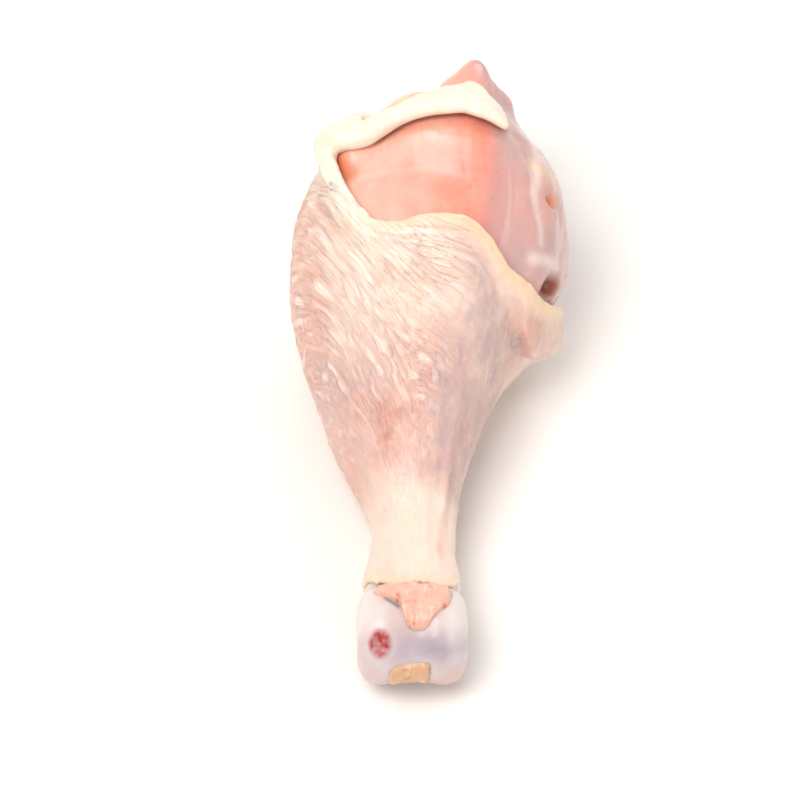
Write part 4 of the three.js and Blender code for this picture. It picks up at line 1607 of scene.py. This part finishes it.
@dataclass
class Recipe:
    """A material in the making."""

    name: str
    made: bpy.types.Material = field(init=False)

    def __post_init__(self) -> None:
        """Starts a node material with no node."""
        self.made = bpy.data.materials.new(self.name)
        self.made.use_nodes = True
        self.made.node_tree.nodes.clear()

    def add(self, kind: str, settings: dict | None = None, sockets: dict | None = None) -> bpy.types.Node:
        """Adds a node with its settings and links.

        Args:
            kind: the node's type.
            settings: its own properties.
            sockets: for each input, by name or number, a value, a hex colour, a mask of the piece or another
                node's output.

        Returns:
            The node.
        """
        tree = self.made.node_tree
        node = tree.nodes.new(kind)
        for name, value in (settings or {}).items():
            setattr(node, name, value)
        for socket, value in (sockets or {}).items():
            if isinstance(value, Mask):
                value = self.add("ShaderNodeAttribute", {"attribute_name": value.value}).outputs["Fac"]
            if isinstance(value, bpy.types.NodeSocket):
                tree.links.new(value, node.inputs[socket])
            else:
                node.inputs[socket].default_value = linear(value) if isinstance(value, str) else value
        return node

    def draw(self, pattern: Pattern) -> bpy.types.NodeSocket:
        """Draws a pattern through the piece, or along the grain of its surface.

        Args:
            pattern: what is drawn.

        Returns:
            Its value.
        """
        kind = "ShaderNodeTexVoronoi" if pattern.texture is Texture.CELLS else "ShaderNodeTexNoise"
        sockets = {"Scale": 1 / (pattern.size * MM), "Detail": pattern.detail, "Roughness": pattern.rough}
        if pattern.texture is Texture.LINES:
            grain = self.add("ShaderNodeAttribute", {"attribute_name": GRAIN})
            sockets |= {"Vector": grain.outputs["Vector"], "Distortion": 0.5}
        else:
            sockets["Vector"] = self.add("ShaderNodeTexCoord").outputs["Object"]
        value = self.add(kind, None, sockets).outputs[0]
        if pattern.texture is Texture.LINES:
            off = self.add("ShaderNodeMath", {"operation": "SUBTRACT"}, {0: value, 1: 0.5})
            value = self.add("ShaderNodeMath", {"operation": "ABSOLUTE"}, {0: off.outputs[0]}).outputs[0]
        if pattern.ramp is not None:
            sockets = dict(zip(RAMP_SOCKETS, (value, *pattern.ramp)))
            value = self.add("ShaderNodeMapRange", RAMP_SETTINGS, sockets).outputs["Result"]
        return value

    def share(self, tint: Tint) -> bpy.types.NodeSocket:
        """Works out how strong a tint is.

        Args:
            tint: the tint.

        Returns:
            Its share of the colour, where 1 is all of it.
        """
        value = tint.mask
        if tint.fade is not None:
            sockets = dict(zip(RAMP_SOCKETS, (value, *tint.fade, 0.0, 1.0)))
            value = self.add("ShaderNodeMapRange", RAMP_SETTINGS, sockets).outputs["Result"]
        for operation, other in (("MULTIPLY", tint.strength), ("MULTIPLY", tint.broken), ("ADD", tint.added)):
            if other is not None:
                other = self.draw(other) if isinstance(other, Pattern) else other
                value = self.add("ShaderNodeMath", {"operation": operation}, {0: value, 1: other}).outputs[0]
        return value

    def colour(self, base: str, tints: tuple[Tint, ...]) -> bpy.types.NodeSocket:
        """Lays tints over a base colour.

        Args:
            base: the base colour's hex code.
            tints: the tints, from the lowest to the topmost.

        Returns:
            The colour of them all.
        """
        settings = {"data_type": "RGBA", "clamp_factor": True}
        under = base
        for tint in tints:
            sockets = {"Factor": self.share(tint), 6: under, 7: tint.colour}
            under = self.add("ShaderNodeMix", settings, sockets).outputs[2]
        return under

    def relief(self, grains: tuple[Grain, ...]) -> bpy.types.NodeSocket:
        """Raises the fine grains one on another.

        Args:
            grains: the grains.

        Returns:
            The surface's direction with them.
        """
        below = {}
        for grain in grains:
            height = self.draw(grain.pattern)
            if grain.mask is not None:
                where = {0: height, 1: grain.mask}
                height = self.add("ShaderNodeMath", {"operation": "MULTIPLY"}, where).outputs[0]
            sockets = {"Height": height, "Distance": grain.depth * MM, "Strength": 1.0, **below}
            below = {"Normal": self.add("ShaderNodeBump", None, sockets).outputs["Normal"]}
        return below["Normal"]

    def shade(self, sockets: dict) -> bpy.types.Material:
        """Ends the material with its shader.

        Args:
            sockets: the Principled shader's inputs.

        Returns:
            The material.
        """
        shader = self.add("ShaderNodeBsdfPrincipled", None, sockets)
        self.add("ShaderNodeOutputMaterial", None, {"Surface": shader.outputs[0]})
        return self.made


@dataclass(frozen=True)
class WetFlesh:
    """A raw wet finish: tints over a base colour, a fine grain, light that sinks in and a moist coat."""

    name: str
    base: str
    tints: tuple[Tint, ...]
    grains: tuple[Grain, ...]
    roughness: Pattern
    glow: float
    glow_spread: tuple[float, float, float]
    glow_depth: float
    coat: float
    coat_roughness: float
    ior: float = 1.4

    def material(self) -> bpy.types.Material:
        """Makes the material.

        Returns:
            The material, for pieces that hold the masks of its tints.
        """
        recipe = Recipe(self.name)
        return recipe.shade(
            {
                "Base Color": recipe.colour(self.base, self.tints),
                "Normal": recipe.relief(self.grains),
                "Roughness": recipe.draw(self.roughness),
                "IOR": self.ior,
                "Subsurface Weight": self.glow,
                "Subsurface Radius": self.glow_spread,
                "Subsurface Scale": self.glow_depth * MM,
                "Coat Weight": self.coat,
                "Coat Roughness": self.coat_roughness,
            }
        )


def poultry_skin() -> WetFlesh:
    """Mixes raw plucked chicken skin: thin, moist and half clear, over pale fat, with crepe-fine lines,
    painted highlights on the wrinkles' crests and painted shade in their depths and lines.

    Returns:
        The finish.
    """
    cream, pink, lilac, bruise = "f1d8cb", "e3a894", "c7abab", "bf7d6c"
    # The third colour is a painted highlight for the wrinkles' crests, and the fourth a painted shade for
    # their depths and lines.
    fat, white, crest, painted_relief_shading = "f2d4b4", "f3eada", "fdf2ea", "d3a699"
    # Real crepe lines are finer and closer. They are drawn at this size so that they show.
    line_size, line_width = 1.15, 0.05
    lines = Pattern(line_size, (0.0, line_width, 1.0, 0.0), Texture.LINES, 1.5, 0.5)
    line_depth = Pattern(line_size, (0.0, line_width, -1.0, 0.0), Texture.LINES, 1.5, 0.5)
    specks = Pattern(2.6, (0.0, 0.42, 0.2, 0.0), Texture.CELLS, 0.0)
    return WetFlesh(
        name="raw_chicken_skin_moist",
        base=cream,
        tints=(
            Tint(pink, Mask.BLUSH, 0.7, added=Pattern(7.0, (0.35, 0.7, -0.14, 0.175))),
            Tint(lilac, Mask.LILAC, broken=Pattern(4.0, (0.3, 0.7, 0.5, 1.0))),
            # Painted highlight on the wrinkles' crests and painted shade in their depths.
            Tint(crest, Mask.CREASE, 0.6, fade=(0.5, 0.1)),
            Tint(painted_relief_shading, Mask.CREASE, 0.42, fade=(0.5, 1.0)),
            # Painted shade in the thin crepe lines.
            Tint(painted_relief_shading, Mask.WRINKLE, 0.24, broken=lines),
            Tint(bruise, Mask.RED, broken=Pattern(2.2, (0.25, 0.75, 0.45, 0.9))),
            Tint(fat, Mask.FAT, added=specks),
            Tint(white, Mask.WHITE),
        ),
        grains=(
            Grain(Pattern(0.9, detail=4.0, rough=0.6), 0.1),
            Grain(Pattern(0.75, texture=Texture.CELLS, detail=0.0), 0.06),
            Grain(line_depth, 0.16, Mask.WRINKLE),
        ),
        roughness=Pattern(1.5, (0.3, 0.7, 0.36, 0.52)),
        glow=0.5,
        glow_spread=(1.0, 0.42, 0.26),
        glow_depth=1.3,
        coat=0.25,
        coat_roughness=0.22,
    )


def raw_muscle() -> WetFlesh:
    """Mixes raw leg muscle under its clear wet fascia: pale pink, duskier on the outer side, with painted
    orange shade and glow under the strap and partly painted shade beside the nub.

    Returns:
        The finish.
    """
    # The fourth colour is the painted orange shade and glow under the strap.
    pink, pale, dusk, glow = "ed9a86", "f5c1b2", "b89497", "e28a62"
    fascia, fat, blood, vein = "efdcd5", "f3d9a0", "93432c", "dd8850"
    return WetFlesh(
        name="raw_muscle_under_wet_fascia",
        base=pink,
        tints=(
            Tint(pale, Mask.PALE, 0.85, added=Pattern(5.0, (0.3, 0.7, -0.1, 0.25))),
            Tint(dusk, Mask.DUSK, broken=Pattern(6.0, (0.2, 0.8, 0.75, 1.0))),
            # Painted orange shade and glow under the strap.
            Tint(glow, Mask.GLOW),
            Tint(fascia, Mask.FASCIA, 0.7),
            Tint(fat, Mask.FAT),
            Tint(blood, Mask.RED),
            Tint(vein, Mask.VEIN),
        ),
        grains=(Grain(Pattern(1.8, detail=2.0, rough=0.5), 0.035),),
        roughness=Pattern(3.0, (0.3, 0.7, 0.26, 0.4)),
        glow=0.6,
        glow_spread=(1.0, 0.34, 0.22),
        glow_depth=2.0,
        coat=0.35,
        coat_roughness=0.15,
    )


def wet_cartilage() -> WetFlesh:
    """Mixes wet joint cartilage over bone: milky lavender-white, with red marrow where it is torn, a painted
    blue shade across the knuckle's front, whiter condyle tops that are partly a painted highlight, and a
    painted shadow line in the gap under the tendon tissue.

    Returns:
        The finish.
    """
    # The blue is a painted shade, the white partly a painted highlight, and the last colour a painted shadow
    # line.
    milk, rose, blue, white, marrow, painted_gap_shadow = "d5cbcd", "d3b0a8", "9f97aa", "e9dfdb", "ad2c30", "54423f"
    return WetFlesh(
        name="wet_joint_cartilage",
        base=milk,
        tints=(
            Tint(rose, Mask.BLUSH),
            Tint(blue, Mask.LILAC),
            Tint(white, Mask.WHITE),
            Tint(marrow, Mask.RED),
            Tint(painted_gap_shadow, Mask.SLIT),
        ),
        grains=(Grain(Pattern(1.6, detail=3.0, rough=0.5), 0.05),),
        roughness=Pattern(2.2, (0.3, 0.7, 0.3, 0.44)),
        glow=0.45,
        glow_spread=(1.0, 0.6, 0.5),
        glow_depth=1.5,
        coat=0.22,
        coat_roughness=0.2,
        ior=1.42,
    )


def torn_tissue(name: str, base: str, pale: str, blood: str, blood_share: float) -> WetFlesh:
    """Mixes torn tendon, gristle or fat: wet fibres with specks of blood.

    Args:
        name: the finish's name.
        base: its colour between the fibres.
        pale: the fibres' colour.
        blood: the specks' colour.
        blood_share: how strong the specks are.

    Returns:
        The finish.
    """
    return WetFlesh(
        name=name,
        base=base,
        tints=(Tint(pale, Mask.FASCIA), Tint(blood, Mask.RED, blood_share)),
        grains=(Grain(Pattern(0.8, detail=4.0, rough=0.6), 0.12),),
        roughness=Pattern(1.6, (0.3, 0.7, 0.3, 0.48)),
        glow=0.5,
        glow_spread=(1.0, 0.4, 0.25),
        glow_depth=1.2,
        coat=0.3,
        coat_roughness=0.2,
    )


def dress(piece: bpy.types.Object, finish: bpy.types.Material, node: str) -> None:
    """Gives a piece its finish and ties it to the frame.

    Args:
        piece: the finished piece.
        finish: its material.
        node: the solid that the piece stands for.
    """
    piece.data.materials.clear()
    piece.data.materials.append(finish)
    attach(piece, BODY)
    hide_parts(node)
    LOG.info("%s: %d vertices", piece.name, len(piece.data.vertices))


# ---- Studio ----


@dataclass(frozen=True)
class Lamp:
    """A soft square lamp, with its place and width in metres and its power in watts."""

    name: str
    place: tuple[float, float, float]
    size: float
    power: float
    tint: str

    def hang(self) -> None:
        """Hangs the lamp so that it faces the drumstick."""
        data = bpy.data.lights.new(self.name, "AREA")
        data.size = self.size
        data.energy = self.power
        data.color = linear(self.tint)[:3]
        made = bpy.data.objects.new(self.name, data)
        made.location = self.place
        made.rotation_euler = Vector(self.place).to_track_quat("Z", "Y").to_euler()
        bpy.context.scene.collection.objects.link(made)


@dataclass(frozen=True)
class Studio:
    """A plain pale floor, soft light and the camera, in metres."""

    elevation: float = 50.0
    distance: float = 0.72
    lens: float = 170.0
    sensor: float = 36.0
    aim: tuple[float, float, float] = (-0.0058, -0.00406, 0.0146)
    floor_size: float = 12.0
    surround_tint: str = "fffdfa"
    surround: float = 0.58
    lamps: tuple[Lamp, ...] = (
        Lamp("key", (-0.3, -0.3, 0.86), 0.55, 6.5, "fffaf4"),
        Lamp("fill", (0.6, -0.7, 0.5), 0.6, 1.6, "ffffff"),
        Lamp("back", (0.15, 0.8, 0.6), 0.5, 2.5, "ffffff"),
    )

    def camera(self) -> None:
        """Places the camera, which looks down on the drumstick from the ankle's side."""
        tilt = math.radians(self.elevation)
        back = Vector((0, -math.cos(tilt), math.sin(tilt)))
        data = bpy.data.cameras.new("camera")
        data.lens = self.lens
        data.sensor_width = self.sensor
        made = bpy.data.objects.new("camera", data)
        made.location = Vector(self.aim) + back * self.distance
        made.rotation_euler = back.to_track_quat("Z", "Y").to_euler()
        bpy.context.scene.collection.objects.link(made)
        bpy.context.scene.camera = made

    def floor(self) -> None:
        """Lays the floor."""
        deselect_all()
        bpy.ops.mesh.primitive_plane_add(size=self.floor_size)
        made = bpy.context.object
        made.name = "floor"
        matt = {"Base Color": "f4f3f1", "Roughness": 0.9, "Specular IOR Level": 0.1}
        made.data.materials.append(Recipe("matt_white_paper_floor").shade(matt))

    def light(self) -> None:
        """Lights the scene: an even pale surround, a broad key from the upper left and a low fill."""
        world = bpy.data.worlds.new("surround")
        world.use_nodes = True
        background = world.node_tree.nodes["Background"]
        background.inputs["Color"].default_value = linear(self.surround_tint)
        background.inputs["Strength"].default_value = self.surround
        bpy.context.scene.world = world
        for lamp in self.lamps:
            lamp.hang()
        bpy.context.scene.view_settings.view_transform = "Standard"


def main() -> None:
    """Builds the drumstick and its studio."""
    logging.basicConfig(level=logging.INFO, format="%(message)s")
    studio = Studio()
    studio.camera()
    form = LegForm()
    knuckle = Knuckle()
    Bone(knuckle).build()
    ankle_tendon(knuckle).build()
    sole_pad(knuckle).build()
    Meat(form).build()
    Skin(form, SkinRelief(form)).build()
    studio.floor()
    studio.light()


if __name__ == "__main__":
    main()
